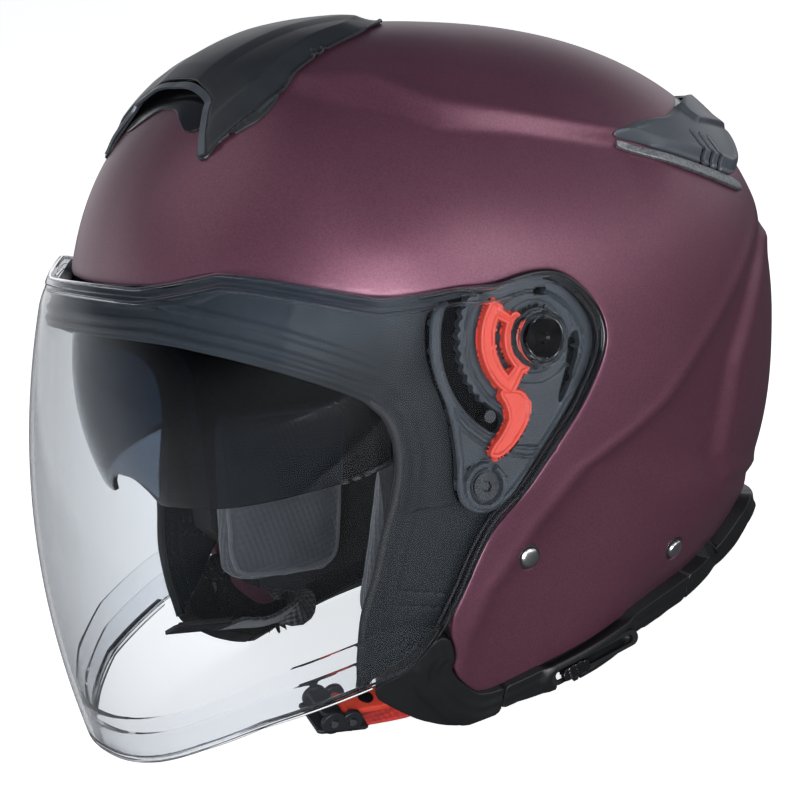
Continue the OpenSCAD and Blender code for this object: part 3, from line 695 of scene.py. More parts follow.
def metallic_paint(name):
    """Satin plum with fine metal flake under a soft clear coat."""
    mat = look(name, (0.128, 0.046, 0.074), (0.160, 0.060, 0.094), (0.40, 0.47), 0.6, (0.35, 0.10), 0.05,
               Coat_Weight=0.2, Coat_Roughness=0.28)
    t, bsdf, place = parts_of(mat)
    flake = node(t, "TexVoronoi", Scale=2600.0)
    wire(t, place, "Object", flake, "Vector")
    sparkle = node(t, "MapRange", To_Min=0.86, To_Max=1.2)
    split = node(t, "SeparateColor")
    wire(t, flake, "Color", split, "Color")
    wire(t, split, "Red", sparkle, "Value")
    times = node(t, "Mix", data_type="RGBA", blend_type="MULTIPLY", Factor=1.0)
    t.links.new(ahead_of(bsdf, "Base Color"), times.inputs[6])
    wire(t, sparkle, "Result", times, 7)
    wire(t, times, 2, bsdf, "Base Color")
    return mat


def pane(name, tint, shadow, rough=0.02, gloss=0.3, edge=0.4):
    """See-through polycarbonate: its tint deepens by edge where it is seen along the sheet."""
    mat, t, bsdf, place = new_material(name)
    haze = node(t, "TexNoise", Scale=35.0, Detail=6.0)
    wire(t, place, "Object", haze, "Vector")
    rougher = node(t, "MapRange", To_Min=rough * 0.4, To_Max=rough)
    wire(t, haze, "Fac", rougher, "Value")
    wire(t, rougher, "Result", bsdf, "Roughness")
    colour = two_colours(t, [c * 0.97 for c in tint], tint)
    wire(t, haze, "Fac", colour, "Fac")
    facing = node(t, "LayerWeight", Blend=0.5)
    deeper = node(t, "Mix", data_type="RGBA")
    deeper.inputs[7].default_value = (*[c * edge for c in tint], 1)
    wire(t, facing, "Facing", deeper, 0)
    wire(t, colour, "Color", deeper, 6)
    wire(t, deeper, 2, bsdf, "Base Color")
    for socket, value in (("Transmission Weight", 1.0), ("IOR", 1.16), ("Specular IOR Level", gloss)):
        bsdf.inputs[socket].default_value = value
    through = node(t, "BsdfTransparent", Color=(*shadow, 1))
    rays = node(t, "LightPath")
    mix = node(t, "MixShader")
    wire(t, rays, "Is Shadow Ray", mix, 0)
    wire(t, bsdf, "BSDF", mix, 1)
    wire(t, through, "BSDF", mix, 2)
    t.links.new(mix.outputs["Shader"], t.nodes["Material Output"].inputs["Surface"])
    return mat


def woven(name, dark, light, pitch=1.0, rough=(0.75, 0.9), sheen=0.3):
    """Yarn crossing over and under at the given pitch in mm, seen on any face."""
    mat = look(name, dark, light, rough, 0.0, (0.25, 0.35), 0.012, Sheen_Weight=sheen, Sheen_Roughness=0.5)
    t, bsdf, place = parts_of(mat)
    height = None
    for axis in ("X", "Y", "Z"):
        wave = node(t, "TexWave", Scale=1000 / pitch / 6.2832, Distortion=0.6, Detail_Scale=2.0,
                    bands_direction=axis)
        wire(t, place, "Object", wave, "Vector")
        if height is None:
            height = wave.outputs["Fac"]
        else:
            add = node(t, "Math", operation="ADD")
            t.links.new(height, add.inputs[0])
            wire(t, wave, "Fac", add, 1)
            height = add.outputs[0]
    bump = node(t, "Bump", Strength=0.5, Distance=pitch * 0.0003)
    t.links.new(height, bump.inputs["Height"])
    t.links.new(ahead_of(bsdf, "Normal"), bump.inputs["Normal"])
    wire(t, bump, "Normal", bsdf, "Normal")
    return mat


def brushed(name, dark, light, rough=(0.22, 0.36), metallic=1.0):
    """Metal with fine scratches along X."""
    mat = look(name, dark, light, rough, metallic, (0.3, 0.1), 0.006)
    t, bsdf, place = parts_of(mat)
    stretch = node(t, "Mapping", Scale=(150, 2500, 2500))
    lines = node(t, "TexNoise", Scale=1.0, Detail=4.0)
    wire(t, place, "Object", stretch, "Vector")
    wire(t, stretch, "Vector", lines, "Vector")
    bump = node(t, "Bump", Strength=0.15, Distance=0.0001)
    wire(t, lines, "Fac", bump, "Height")
    wire(t, bump, "Normal", bsdf, "Normal")
    return mat


PAINT = metallic_paint("plum_metallic")
FRAME_GREY = look("frame_grey", (0.0085, 0.010, 0.012), (0.014, 0.0165, 0.0195), (0.36, 0.48), 0.0,
                  (0.7, 0.05), Specular_IOR_Level=0.18)
lighter_above(FRAME_GREY, 0.140, 0.176, 3.2)
# painted shade: a near-black with almost no gloss, for the sheet behind the base plates, so their slots and
# holes read as deep shadow
PAINTED_HOLE_SHADE = look("painted_hole_shade", (0.0015, 0.0016, 0.002), (0.004, 0.004, 0.005), (0.8, 0.95), 0.0, (0.6, 0.05),
                  Specular_IOR_Level=0.05)
TRIM_BLACK = look("trim_black", (0.007, 0.008, 0.009), (0.012, 0.013, 0.014), (0.36, 0.48), 0.0, (0.7, 0.10),
                  Specular_IOR_Level=0.35)
VENT_BLACK = look("vent_black", (0.014, 0.016, 0.019), (0.024, 0.027, 0.031), (0.32, 0.44), 0.0, (0.6, 0.08),
                  Specular_IOR_Level=0.4)
VENT_GREY = look("vent_grey", (0.062, 0.072, 0.086), (0.090, 0.102, 0.120), (0.34, 0.44), 0.3, (0.5, 0.08),
                 Specular_IOR_Level=0.4)
GLOSS_BLACK = look("gloss_black", (0.006, 0.006, 0.008), (0.011, 0.011, 0.013), (0.12, 0.22), 0.0,
                   (0.6, 0.04), Specular_IOR_Level=0.4)
BASE_GREY = look("base_grey", (0.030, 0.034, 0.041), (0.046, 0.052, 0.060), (0.24, 0.36), 0.0, (0.6, 0.06),
                 Specular_IOR_Level=0.4)
RED_PLASTIC = look("red_plastic", (0.62, 0.055, 0.035), (0.76, 0.080, 0.050), (0.28, 0.4), 0.0, (0.5, 0.15),
                   Subsurface_Weight=0.05)
RUBBER = look("rubber", (0.008, 0.008, 0.009), (0.016, 0.016, 0.018), (0.55, 0.75), 0.0, (0.4, 0.4))
STEEL = brushed("steel", (0.50, 0.51, 0.53), (0.66, 0.67, 0.69))
DULL_STEEL = brushed("dull_steel", (0.26, 0.27, 0.29), (0.38, 0.39, 0.41), (0.3, 0.45))
SPARKLE = look("sparkle_strip", (0.10, 0.11, 0.12), (0.42, 0.44, 0.46), (0.25, 0.4), 0.8, (0.9, 0.9), 0.002)
FOAM = look("foam", (0.012, 0.012, 0.014), (0.024, 0.024, 0.027), (0.8, 0.95), 0.0, (3.2, 0.8), 0.008)
KNIT = woven("knit_fabric", (0.046, 0.048, 0.055), (0.092, 0.096, 0.106), 1.3)
PIPING = woven("piping", (0.11, 0.11, 0.12), (0.18, 0.18, 0.19), 0.8)
RED_WEB = woven("red_webbing", (0.42, 0.022, 0.020), (0.62, 0.045, 0.035), 1.2, sheen=0.15)
BLACK_WEB = woven("black_webbing", (0.010, 0.010, 0.012), (0.024, 0.024, 0.027), 1.2)
CLEAR = pane("clear_polycarbonate", (0.90, 0.925, 0.95), (0.82, 0.85, 0.88), 0.02)
CLEAR_LIP = pane("clear_lip", (0.97, 0.975, 0.99), (0.82, 0.85, 0.88), 0.03, 0.5, 0.9)
SMOKE = pane("smoke_polycarbonate", (0.115, 0.15, 0.205), (0.05, 0.06, 0.08), 0.03, 0.15)
BLACK_STEEL = brushed("black_screw", (0.035, 0.036, 0.04), (0.10, 0.10, 0.108), (0.16, 0.3))

# CAD nodes that are carried over as they are
CAD_LOOKS = {"base_screws": BLACK_STEEL, "pivot_screws": BLACK_STEEL, "ratchet_pins": BLACK_STEEL,
             "lever_springs": STEEL, "sun_visor_pins": VENT_BLACK, "slider_track": TRIM_BLACK,
             "visor_cable": RUBBER, "strap_anchors": DULL_STEEL, "buckle_pins": STEEL,
             "buckle_spring": STEEL, "impact_liner": FOAM}
for obj in bpy.data.objects:
    cad_look = CAD_LOOKS.get(obj.name.split(".")[0])
    if obj.type == "MESH" and cad_look:
        for holder in obj.material_slots:
            holder.material = cad_look

# ---------- painted shell ----------

AROUND = spread_round(440)
UPWARDS = spread(-1.15, math.pi / 2 - 0.012, 230)


rivet_holes = any_of(*[circle(place, 4.6) for place in RIVETS])
shell_mesh = patch(shell_at(), AROUND, UPWARDS, both(side(PAINTED), cut_out(rivet_holes)), wall=4.4,
                   bevel=0.9, wrap=True)
crown = direction(AROUND, np.full(AROUND.shape, UPWARDS[-1]))
cap_ring = crown * (shell_radius(crown) + relief(crown * shell_radius(crown)[..., None]))[..., None]
cap = np.vstack([cap_ring, cap_ring.mean(0)[None]])
n_cap = len(cap_ring)
cap_faces = [[i, (i + 1) % n_cap, n_cap] for i in range(n_cap)]
piece("painted_shell", joined(shell_mesh, (cap, cap_faces)), PAINT, sharp=35,
      replaces=["outer_shell"])

# ---------- black frame round the eye port ----------


def hold_inside_shield(p, t):
    """Pulls points back to t inside the shield's outer face, in front of the pivot."""
    w, f = shield_reach(p[..., 2], t)
    q = (np.abs(p[..., 0]) / w) ** POWER + (np.abs(np.minimum(p[..., 1] - PIVOT[0], 0)) / f) ** POWER
    k = np.maximum(q, 1) ** (-1 / POWER)
    out = p.copy()
    out[..., 0] = p[..., 0] * k
    out[..., 1] = np.where(p[..., 1] < PIVOT[0], PIVOT[0] + (p[..., 1] - PIVOT[0]) * k, p[..., 1])
    return out


RIDGES = ((1.4, 0.8), (3.4, -0.9), (5.4, 0.9), (7.8, -1.0), (12.0, 0.9), (15.0, -0.9))
CHEEK_SEAMS = ((-60, 0.12), (-93, -0.1), (-99, -0.1))
UNDER_PLATE = 116.4              # x that the frame keeps to behind the base plates


def frame_surface(az, el):
    """The eye port's frame: brow gasket swelling out to the shield, stepped cheek frames below it."""
    d = direction(az, el)
    r = shell_radius(d)
    p = d * r[..., None]
    y, z = p[..., 1], p[..., 2]
    brow = 14 * smooth((-d[..., 1] - 0.5) / 0.32) * smooth((0.34 - np.abs(d[..., 2] - 0.06)) / 0.14)
    plain = hold_inside_shield(d * (r - 5 + brow)[..., None], 4.0)
    gap = -inside(EYE_PORT, plain[..., 1], plain[..., 2])
    ridges = 0.0
    for start, rise in RIDGES:
        ridges = ridges + rise * smooth((gap - start) / 0.9)
    top_gap = frame_region(plain)
    ridges = ridges + 0.8 * smooth((1.6 - np.abs(top_gap - 5.0)) / 0.8)
    ridges = ridges - 0.8 * smooth((2.4 - top_gap) / 0.8)
    bead = 1.0 * smooth((gap - 1.5) / 0.8) * smooth((5.5 - gap) / 0.8) - 0.7 * smooth((gap - 9) / 0.8)
    seams = 0.0
    for level, tilt in CHEEK_SEAMS:
        seams = seams - 0.7 * smooth(1 - np.abs(z - level - tilt * (y + 50)) / 0.7) * smooth((y + 59) / 2)
    front = smooth((-y - 62) / 22)
    detail = lerp(bead + seams, ridges, front * smooth((z + 40) / 20))
    out = hold_inside_shield(d * (r - 5 + brow + detail)[..., None], 4.0 - detail)
    # sunk under the base plates
    x = np.abs(out[..., 0])
    under = smooth((plate_region(out) + 0.8) / 0.8)
    out[..., 0] = np.sign(out[..., 0]) * lerp(x, np.minimum(x, UNDER_PLATE), under)
    return out


frame_region = side([(-170, 21.2), (-129, 21.2), (-118, 29.2), (-109, 28.2), (-84, 23.2), (-69, 20.7),
                     (-62, 30), (-30, 38), (0, 40), (18, 34), (30, 18), (31, 0), (22, -22), (8, -40),
                     (-6, -54), (-20, -66), (-24, -80), (-27, -96), (-36, -99), (-39.6, -102.4),
                     (-52.6, -119), (-64.6, -128), (-64, -160), (-170, -160)])
plate_region = side(BASE_PLATE)
frame_az = spread(-math.pi - 0.35, 0.35, 420)
frame_el = spread(-1.25, 0.36, 360)
frame_mesh = patch(frame_surface, frame_az, frame_el, both(frame_region, cut_out(side(EYE_PORT))), wall=4,
                   bevel=0.5)
piece("eyeport_frame", frame_mesh, FRAME_GREY, replaces=["face_frame"])

# ---------- shield ----------

SHIELD_REGION = SHIELD_TOP + SHIELD_BACK + SHIELD_BOTTOM
shield_region = side(SHIELD_REGION)


def shield_at(t):
    """The shield's surface moved inwards by t."""
    return lambda s, z: shield_place(s, z, t)


shield_mesh = patch(shield_at(0.0), spread(-113, 113, 190), spread(-171, 34, 150),
                    both(shield_region, cut_out(circle(PIVOT, 10.45))), wall=2.0, bevel=0.8)
piece("clear_shield", shield_mesh, CLEAR, "shield", sharp=30, replaces=["face_shield"])

# ---------- shield's lip ----------

LIP_LINE = [(-170, -156), (-140, -153), (-134, -147), (-128, -140), (-119, -132), (-109, -125),
            (-100, -119.6), (-85, -112), (-66, -104), (-56, -101), (-50, -102)]


def lip_band(depth, t, wall, name):
    """A step of the lip: everything lower than depth above the shield's bottom line."""
    def test(p):
        low = along(sorted(SHIELD_BOTTOM), p[..., 1])
        high = np.minimum(along(LIP_LINE, p[..., 1]), low + depth)
        return np.minimum(high - p[..., 2], shield_region(p) - 0.4)
    mesh = patch(shield_at(t), spread(-80, 80, 170), spread(-171, -96, 70), test, wall=wall, bevel=0.6)
    piece(name, mesh, CLEAR_LIP, "shield", sharp=30)


def top_band(p):
    """Thick rim along the shield's upper edge."""
    edge_gap = line_distance(SHIELD_TOP, p[..., 1], p[..., 2], False)
    return np.minimum(np.minimum(edge_gap - 0.5, 3.4 - edge_gap), shield_region(p))


top_mesh = patch(shield_at(-0.7), spread(-112, 112, 260), grid(4, 31, 0.6), top_band, wall=1.2, bevel=0.45)
piece("shield_top_rim", top_mesh, CLEAR_LIP, "shield", sharp=30)
lip_band(21, 2.2, 1.6, "lip_upper_step")
lip_band(12, 4.0, 1.6, "lip_lower_step")


def shield_edge(outline, first, last, count, t):
    """Places on the shield along a side-view outline, from angle first to last."""
    s = np.linspace(first, last, count)
    z = np.full(count, -140.0)
    ordered = sorted(outline)
    for _ in range(8):
        z = along(ordered, shield_place(s, z, t)[..., 1])
    p = shield_place(s, z, t)
    inwards = shield_place(s, z, t + 1) - p
    return p, inwards


top_edge, top_inwards = shield_edge(SHIELD_TOP, -86, 86, int(260 / FINE), 0.1)
top_bead = round_bar(0.9, 14, 0.8)
top_lines = [sweep(top_edge - (0, 0, drop), top_inwards, top_bead) for drop in (0.9, 6.2)]
piece("shield_top_beads", joined(*top_lines), CLEAR_LIP, "shield", sharp=50)
edge, inwards = shield_edge(SHIELD_BOTTOM, -68, 68, int(120 / FINE), 1.2)
lip_section = [(a + 3.0 * (a > 0), b) for a, b in round_bar(1.2, 20, 1.5)]
lip_bead = sweep(edge + (0, 0, 0.8), inwards, lip_section)
piece("lip_bead", lip_bead, CLEAR_LIP, "shield", sharp=50)

# ---------- helmet outline beads ----------


def on_shell(y, z, offset=0.0):
    """Points of the shell's side at side-view places y, z."""
    y, z = np.broadcast_arrays(np.asarray(y, float), np.asarray(z, float))
    lo, hi = np.zeros(y.shape), np.full(y.shape, 150.0)
    for _ in range(34):
        x = (lo + hi) / 2
        p = np.stack([x, y, z], -1)
        r = np.linalg.norm(p, axis=-1)
        over = r > shell_radius(p / r[..., None]) + relief(p) + offset
        hi, lo = np.where(over, x, hi), np.where(over, lo, x)
    return np.stack([lo, y, z], -1)


def shell_normal(p):
    """Outward direction of the shell at points p, from the radius function's slope."""
    def level(q):
        r = np.linalg.norm(q, axis=-1)
        return r - shell_radius(q / r[..., None])
    h = 0.05
    g = np.stack([level(p + np.eye(3)[k] * h) - level(p - np.eye(3)[k] * h) for k in range(3)], -1)
    return g / np.linalg.norm(g, axis=-1)[..., None]


def shell_bead(name, outline, radius, lift, material, count=120, replaces=()):
    """A pair of beads lying on the shell along a side-view line."""
    line = spline([(0, y, z) for y, z in outline], count)
    p = on_shell(line[:, 1], line[:, 2])
    n = shell_normal(p)
    mesh = sweep(p + n * lift, np.cross(np.gradient(p, axis=0), n), round_bar(radius, 14))
    piece(name, mirrored(*mesh), material, sharp=50, replaces=replaces)


recess_line = [(-56, 21.5), (-41, 24.3), (-29, 24.8), (-18, 28), (-7, 30), (1.5, 28.6), (9.8, 23),
               (16.6, 15.4), (19.6, 7), (18.6, -0.6), (14.7, -9.4), (8.8, -20.2), (-0.2, -32.2),
               (-8.2, -43.2), (-14.1, -51.1), (-21, -57.2), (-26.2, -63.4), (-31.4, -74.6),
               (-35.4, -87.6), (-40.2, -102)]
shell_bead("recess_edging", recess_line, 1.25, -0.5, GLOSS_BLACK, 150)
port_line = [(y - 0.6, z) for y, z in EYE_PORT[4:11]] + [(-67.4, -116), (-66.2, -122)]
shell_bead("port_gasket", port_line, 1.8, -5.4, RUBBER, 150, ["eyeport_gasket"])
inner_line = [(y - 2.4, z - 0.6) for y, z in recess_line[6:]]
shell_bead("recess_edging_inner", inner_line, 0.8, -1.6, GLOSS_BLACK, 150)

# ---------- shield mechanism ----------


def arc_spot(a, r):
    return PIVOT[0] - r * math.cos(math.radians(a)), PIVOT[1] + r * math.sin(math.radians(a))


arc_slot = sector(PIVOT, PIN_ARC - 4, PIN_ARC + 4, -62, 26)
teeth = any_of(*[circle(arc_spot(a, PIN_ARC - 4.6), 1.7) for a in range(-46, 27, 8)])
slot_hole = both(arc_slot, cut_out(teeth))
long_slot = side([(8.5, 11), (12.2, 3), (9, -8), (3.5, -20), (1.5, -18), (5.5, -6)])
small_hole = box2(-8.5, -4, 21.4, 24.4)
square_hole = box2(-22, -18, -2, 2)


def plate_height(y, z):
    """Rails, grooves and sunk pads of the base plate."""
    r, a = polar(PIVOT, y, z)
    rim = at_yz(plate_region, y, z)
    h = smooth(1.6 - np.abs(rim - 1.7)) * smooth(r - 27)
    for radius, half in ((41.4, 0.7), (44.6, 0.6)):
        rail = 1.1 * raised_line(r - radius, half) * smooth(rim - 2) * smooth((34 - a) / 2)
        h = np.maximum(h, rail)
    inner_rail = 0.9 * raised_line(r - 29.2, 0.7) * smooth((36 - a) / 2) * smooth((a + 66) / 2)
    h = np.maximum(h, inner_rail)
    boss = np.hypot(y - BASE_SCREW[0], z - BASE_SCREW[1])
    turn_at = np.degrees(np.arctan2(z - BASE_SCREW[1], y - BASE_SCREW[0]))
    split = smooth((np.abs(turn_at - 70) - 9) / 3)
    h = np.maximum(h, 1.9 * raised_line(boss - 7.8, 1.1) * split)
    h = h - 0.9 * raised_line(rim - 4.6, 0.6, 0.3) * smooth((z + 18) / 4) * smooth((y + 30) / 4)
    h = h - 0.7 * smooth((r - 13.5) / 0.5) * smooth((17.8 - r) / 0.5)
    return h


plate_holes = any_of(slot_hole, long_slot, small_hole, square_hole, circle(PIVOT, 8.2),
                     circle(BASE_SCREW, 3.4))
plate_mesh = patch(flat(PLATE_X, plate_height), grid(-55, 19, 0.62), grid(-62, 30, 0.62),
                   both(plate_region, cut_out(plate_holes)), wall=3.6, bevel=0.35)
piece("base_plates", mirrored(*plate_mesh), BASE_GREY, sharp=30,
      replaces=["base_plate_left", "base_plate_right"])
# a near-black sheet behind each base plate: painted shade that darkens whatever shows through the plate's
# slots and holes
plate_backing = patch(flat(117.0), grid(-54, 18, 1.6), grid(-60, 28, 1.6), side(BASE_PLATE, 1.2), wall=1.2,
                      bevel=0.3)
piece("plate_backing", mirrored(*plate_backing), PAINTED_HOLE_SHADE)
boss = turned(PIVOT, [(119, 8.3), (124.2, 8.3), (124.7, 7.8), (124.7, 6.2)])
screw_boss = turned(BASE_SCREW, [(119, 6.0), (121.4, 6.0), (121.8, 5.7)])
piece("plate_bosses", mirrored(*joined(boss, screw_boss)), BASE_GREY)

HANDLE = [(-27, -13), (-20, -12.5), (-13, -14.5), (-11.5, -22), (-15, -30), (-23, -38), (-28.5, -38.5),
          (-29.5, -35.5), (-22.5, -28), (-20.5, -21)]
lever_arc = any_of(sector(PIVOT, 18.5, 24.5, -48, 30), sector(PIVOT, 9, 14.6, -60, 35), circle(PIVOT, 11.2))
lever_ends = any_of(sector(PIVOT, 9, 24.4, 22, 35, True), sector(PIVOT, 9, 24.4, -65, -47, True))
lever_region = both(any_of(lever_arc, lever_ends, side(HANDLE)), cut_out(circle(PIVOT, 8.4)))
BEARING_RADIUS = 11.6


def lever_height(y, z):
    rim = at_yz(lever_region, y, z)
    knob = np.hypot(y + 6.5, z + 8.5)
    return -0.75 * smooth((rim - 1.1) / 0.5) + 0.9 * smooth((2.3 - knob) / 0.5)


lever_mesh = patch(flat(124.5, lever_height), grid(-36, 6, 0.5), grid(-41, 33, 0.5), lever_region, wall=3.0,
                   bevel=0.45)
for node_name, lever_side in (("lock_lever_left", lever_mesh), ("lock_lever_right", flipped(*lever_mesh))):
    lever = piece(node_name + "_red", lever_side, RED_PLASTIC, node_name, 30, [node_name])
    # the bearing ring under the hub is black
    lever.data.materials.append(GLOSS_BLACK)
    for face in lever.data.polygons:
        spot = worn(face.center)
        face.material_index = int(math.dist(spot[1:], PIVOT) < BEARING_RADIUS)

hub_profile = [(125, 6.1), (125, 10.2), (125.3, 10.4), (129.0, 10.4), (129.6, 9.9), (129.6, 9.0),
               (129.1, 8.6), (129.1, 8.1), (129.5, 7.8), (129.3, 7.5), (127.8, 7.4), (127.8, 6.1)]
hub_mesh = turned(PIVOT, hub_profile)
piece("hub_ring_left", hub_mesh, CLEAR, "shield", 30, ["shield_hub_left"])
piece("hub_ring_right", flipped(*hub_mesh), CLEAR, "shield", 30, ["shield_hub_right"])

# ---------- sun visor ----------

VISOR_R, VISOR_HALF = 106.5, 103.5
VISOR_POWER = 2 / 2.6
NOSE = [(-17, -54), (17, -54), (33, -78), (36, -120), (-36, -120), (-33, -78)]
nose = rounded(rounded(NOSE, 7.0), 3.0)


def visor_surface(t):
    def surface(a, b):
        c, s = np.cos(a) + 1e-9, np.sin(a)
        rr = (VISOR_R - t) * c ** VISOR_POWER
        x = (VISOR_HALF - t) * np.sign(s) * np.abs(s) ** VISOR_POWER
        return np.stack([x, VISOR_PIVOT[0] - rr * np.cos(b), VISOR_PIVOT[1] + rr * np.sin(b)], -1)
    return surface


def nose_notch(p):
    return np.where(p[..., 1] < -60, inside(nose, p[..., 0], p[..., 2]), -50.0)


visor_test = both(side(VISOR_OUTLINE), cut_out(nose_notch), cut_out(circle(VISOR_PIVOT, 4.05)))


visor_a = spread(-math.radians(89.2), math.radians(89.2), 200)
visor_b = spread(math.radians(-75), math.radians(75), 120)
visor_mesh = patch(visor_surface(0), visor_a, visor_b, visor_test, wall=2.0, bevel=0.6)
piece("smoke_visor", visor_mesh, SMOKE, "sun_visor", 30, ["sun_visor"])


def visor_rim(p):
    s = visor_test(p)
    return np.minimum(np.minimum(s + 0.2, 1.9 - s), -p[..., 2] - 14)


rim_mesh = patch(visor_surface(-0.35), visor_a, visor_b, visor_rim, wall=2.7, bevel=0.4)
piece("visor_rim", rim_mesh, GLOSS_BLACK, "sun_visor")

# ---------- lower trim ----------

TRIM_TOP = [(-52, -119.8), (-39.3, -103.3), (-32.3, -116.3), (-35.3, -120.3), (-24.2, -129.8),
            (-18, -132.3), (-9, -129.8), (12, -121.3), (47, -107.8), (89, -96.3), (105, -90.3),
            (122, -72.3), (132, -66.3), (200, -66.3)]
trim_region = side(TRIM_TOP + TRIM_BOTTOM[::-1])
trim_line = TRIM_TOP[1:]


# the sun visor's slider: where its travel starts, its slope and the ends of its slot
SLIDE_START = (14, -127.2)
SLIDE_SLOPE = math.radians(20.5)
slide_a = SLIDE_START[0] - 0.94, SLIDE_START[1] - 0.35
slide_b = SLIDE_START[0] + 32.8, SLIDE_START[1] + 12.25


def below_edge(p):
    """Distance from the trim's upper edge."""
    return line_distance(trim_line, p[..., 1], p[..., 2], False)


def trim_extra(p):
    """Flare at the rear, and the moulded steps along the trim."""
    y, down = p[..., 1], below_edge(p)
    d = p / np.linalg.norm(p, axis=-1)[..., None]
    low_rear = smooth((d[..., 1] - 0.3) / 0.35) * smooth((-d[..., 2] - 0.36) / 0.1)
    flare = 11 * low_rear * np.clip(down / 11, 0, 1)
    steps = 0.9 * smooth((down - 3.4) / 0.7) + 0.9 * smooth((down - 7.0) / 0.7)
    steps = (steps - 0.8 * smooth((down - 12.5) / 0.9)) * lerp(1.0, 0.55, smooth(y + 9.5))
    feet = 0.7 * smooth((np.sin(y / 4.1) - 0.2) / 0.3) * smooth((down - 8.5) / 0.8) * smooth((y - 36) / 3)
    knob_seat = (p[..., 0] > 0) * smooth((8 + capsule(slide_a, slide_b, 0)(p)) / 3)
    return flare + lerp(steps - 0.8 - feet, 1.4, knob_seat)


def above_rim(p):
    return p[..., 2] * math.cos(TILT) - p[..., 1] * math.sin(TILT) + RIM_DROP


def keep_above_rim(mesh):
    """Lifts what reaches below the plane that the helmet stands on."""
    verts = np.array(mesh[0], float)
    verts[:, 2] += np.maximum(0.05 - above_rim(verts), 0) / math.cos(TILT)
    return verts, mesh[1]


def trim_piece(name, lo, hi, node_name, az, mirror=False, hole=None):
    tests = [trim_region, window(1, lo, hi), above_rim]
    if hole:
        tests.append(cut_out(hole))
    mesh = patch(shell_at(0.6, False, trim_extra), az, spread(-1.35, -0.3, 190), both(*tests), wall=9,
                 bevel=0.5)
    mesh = keep_above_rim(mesh)
    if mirror:
        mesh = flipped(*mesh)
    piece(name, mesh, TRIM_BLACK, sharp=32, replaces=[node_name])


front_turn = spread(-1.2, 0.7, 190)
side_turn = spread(-0.25, 1.25, 170)
rear_turn = spread(0.6, math.pi - 0.6, 190)
trim_piece("front_trim_left", -80, -9.2, "trim_front_left", front_turn)
trim_piece("front_trim_right", -80, -9.2, "trim_front_right", front_turn, True)
trim_piece("side_trim_left", -8.8, 88, "trim_side_left", side_turn, hole=capsule(slide_a, slide_b, 3.3))
trim_piece("side_trim_right", -8.8, 88, "trim_side_right", side_turn, True)
trim_piece("rear_trim", 88.4, 220, "trim_rear", rear_turn)


def beside_edge(p):
    return 7 - below_edge(p)


trim_backing = patch(shell_at(-7.5, False), side_turn, spread(-1.35, -0.3, 90),
                     both(window(1, -9, 88), above_rim, beside_edge), wall=2, bevel=0.4)
piece("trim_backing", mirrored(*trim_backing), TRIM_BLACK)

# ---------- vents ----------


def plan(points, offset=0.0):
    """A region test in the top view."""
    outline = rounded(rounded(points, 3.0), 1.0)
    return lambda p: np.where(p[..., 2] > 20, inside(outline, p[..., 0], p[..., 1]), -50.0) - offset


def mirror_plan(half):
    return half + [(-x, y) for x, y in reversed(half)]


VENT_PLAN = mirror_plan([(0, -99), (14, -99), (33, -101), (38, -107), (47, -114), (62, -92), (56, -77),
                         (50, -62), (44, -43), (27, -22)])
VENT_BODY = mirror_plan([(0, -101), (33, -103), (36, -105), (46, -111), (55, -88), (49, -70), (43, -54),
                         (38, -40), (22, -24)])
MOUTH_EDGE = [(-47, -111), (-36, -103), (-33, -100.5), (-14, -98.6), (14, -98.6), (33, -100.5),
              (36, -103), (47, -111)]
MOUTH_FLOOR = mirror_plan([(0, -104), (8, -104), (20, -108), (30, -109.5), (38, -106), (40, -99),
                           (34, -84), (0, -80)])
HOOD_PROFILE = [(-112, 2.0), (-101, 3.4), (-88, 4.5), (-60, 3.8), (-20, 1.4)]
vent_body = plan(VENT_BODY)


def vent_height(p):
    """Skirt, faceted hood and ridges of the top vent."""
    inner = vent_body(p)
    x, y = np.abs(p[..., 0]), p[..., 1]
    hood = along(HOOD_PROFILE, y) * np.clip((inner + 1.0) / 7.0, 0, 1)
    roof = 0.9 * np.clip((26 - x) / 9, 0, 1) * smooth((-y - 24) / 10)
    height = 0.9 + hood + roof * np.clip(inner / 6, 0, 1) + 0.8 * raised_line(inner + 3.4, 0.8)
    for place in (64, 60):
        height = height + 0.8 * raised_line(y + place + (x - 50) * 0.3, 0.9) * smooth((x - 44) / 1.5)
    return height


def top_surface(extra):
    """Surface over the forehead, extra above the shell, by the top view's x and y."""
    def surface(x, y):
        z = np.full(np.shape(x), 100.0)
        for _ in range(24):
            p = np.stack([x, y, z], -1)
            r = np.linalg.norm(p, axis=-1)
            z = z + (shell_radius(p / r[..., None]) + relief(p) - r) * 0.9
        p = np.stack([x, y, z], -1)
        n = shell_normal(p)
        return p + n * np.asarray(extra(p))[..., None]
    return surface


vent_mesh = patch(top_surface(vent_height), grid(-64, 64, 0.8), grid(-116, -20, 0.8), plan(VENT_PLAN),
                  wall=0.9, bevel=0.4)
piece("top_vent_hood", vent_mesh, VENT_BLACK, sharp=28, replaces=["top_vent_frame"])
mouth_line = spline([(x, y, 0) for x, y in MOUTH_EDGE], 90)
lip_path = top_surface(vent_height)(mouth_line[:, 0], np.maximum(mouth_line[:, 1], -113) + 1.2)
lip_up = shell_normal(lip_path)
mouth_section = [(-1.5, -0.9), (-1.5, 0.1), (-0.9, 0.55), (0.9, 0.55), (1.5, 0.1), (1.5, -0.9)]
mouth_lip = sweep(lip_path, np.cross(np.gradient(lip_path, axis=0), lip_up), mouth_section)
piece("vent_mouth_lip", mouth_lip, VENT_GREY, sharp=35)
mouth_mesh = patch(top_surface(lambda p: 0.5 + 0 * p[..., 0]), grid(-42, 42, 1.2), grid(-112, -76, 1.2),
                   plan(MOUTH_FLOOR), wall=0.4, bevel=0.2)
piece("mouth_floor", mouth_mesh, GLOSS_BLACK)

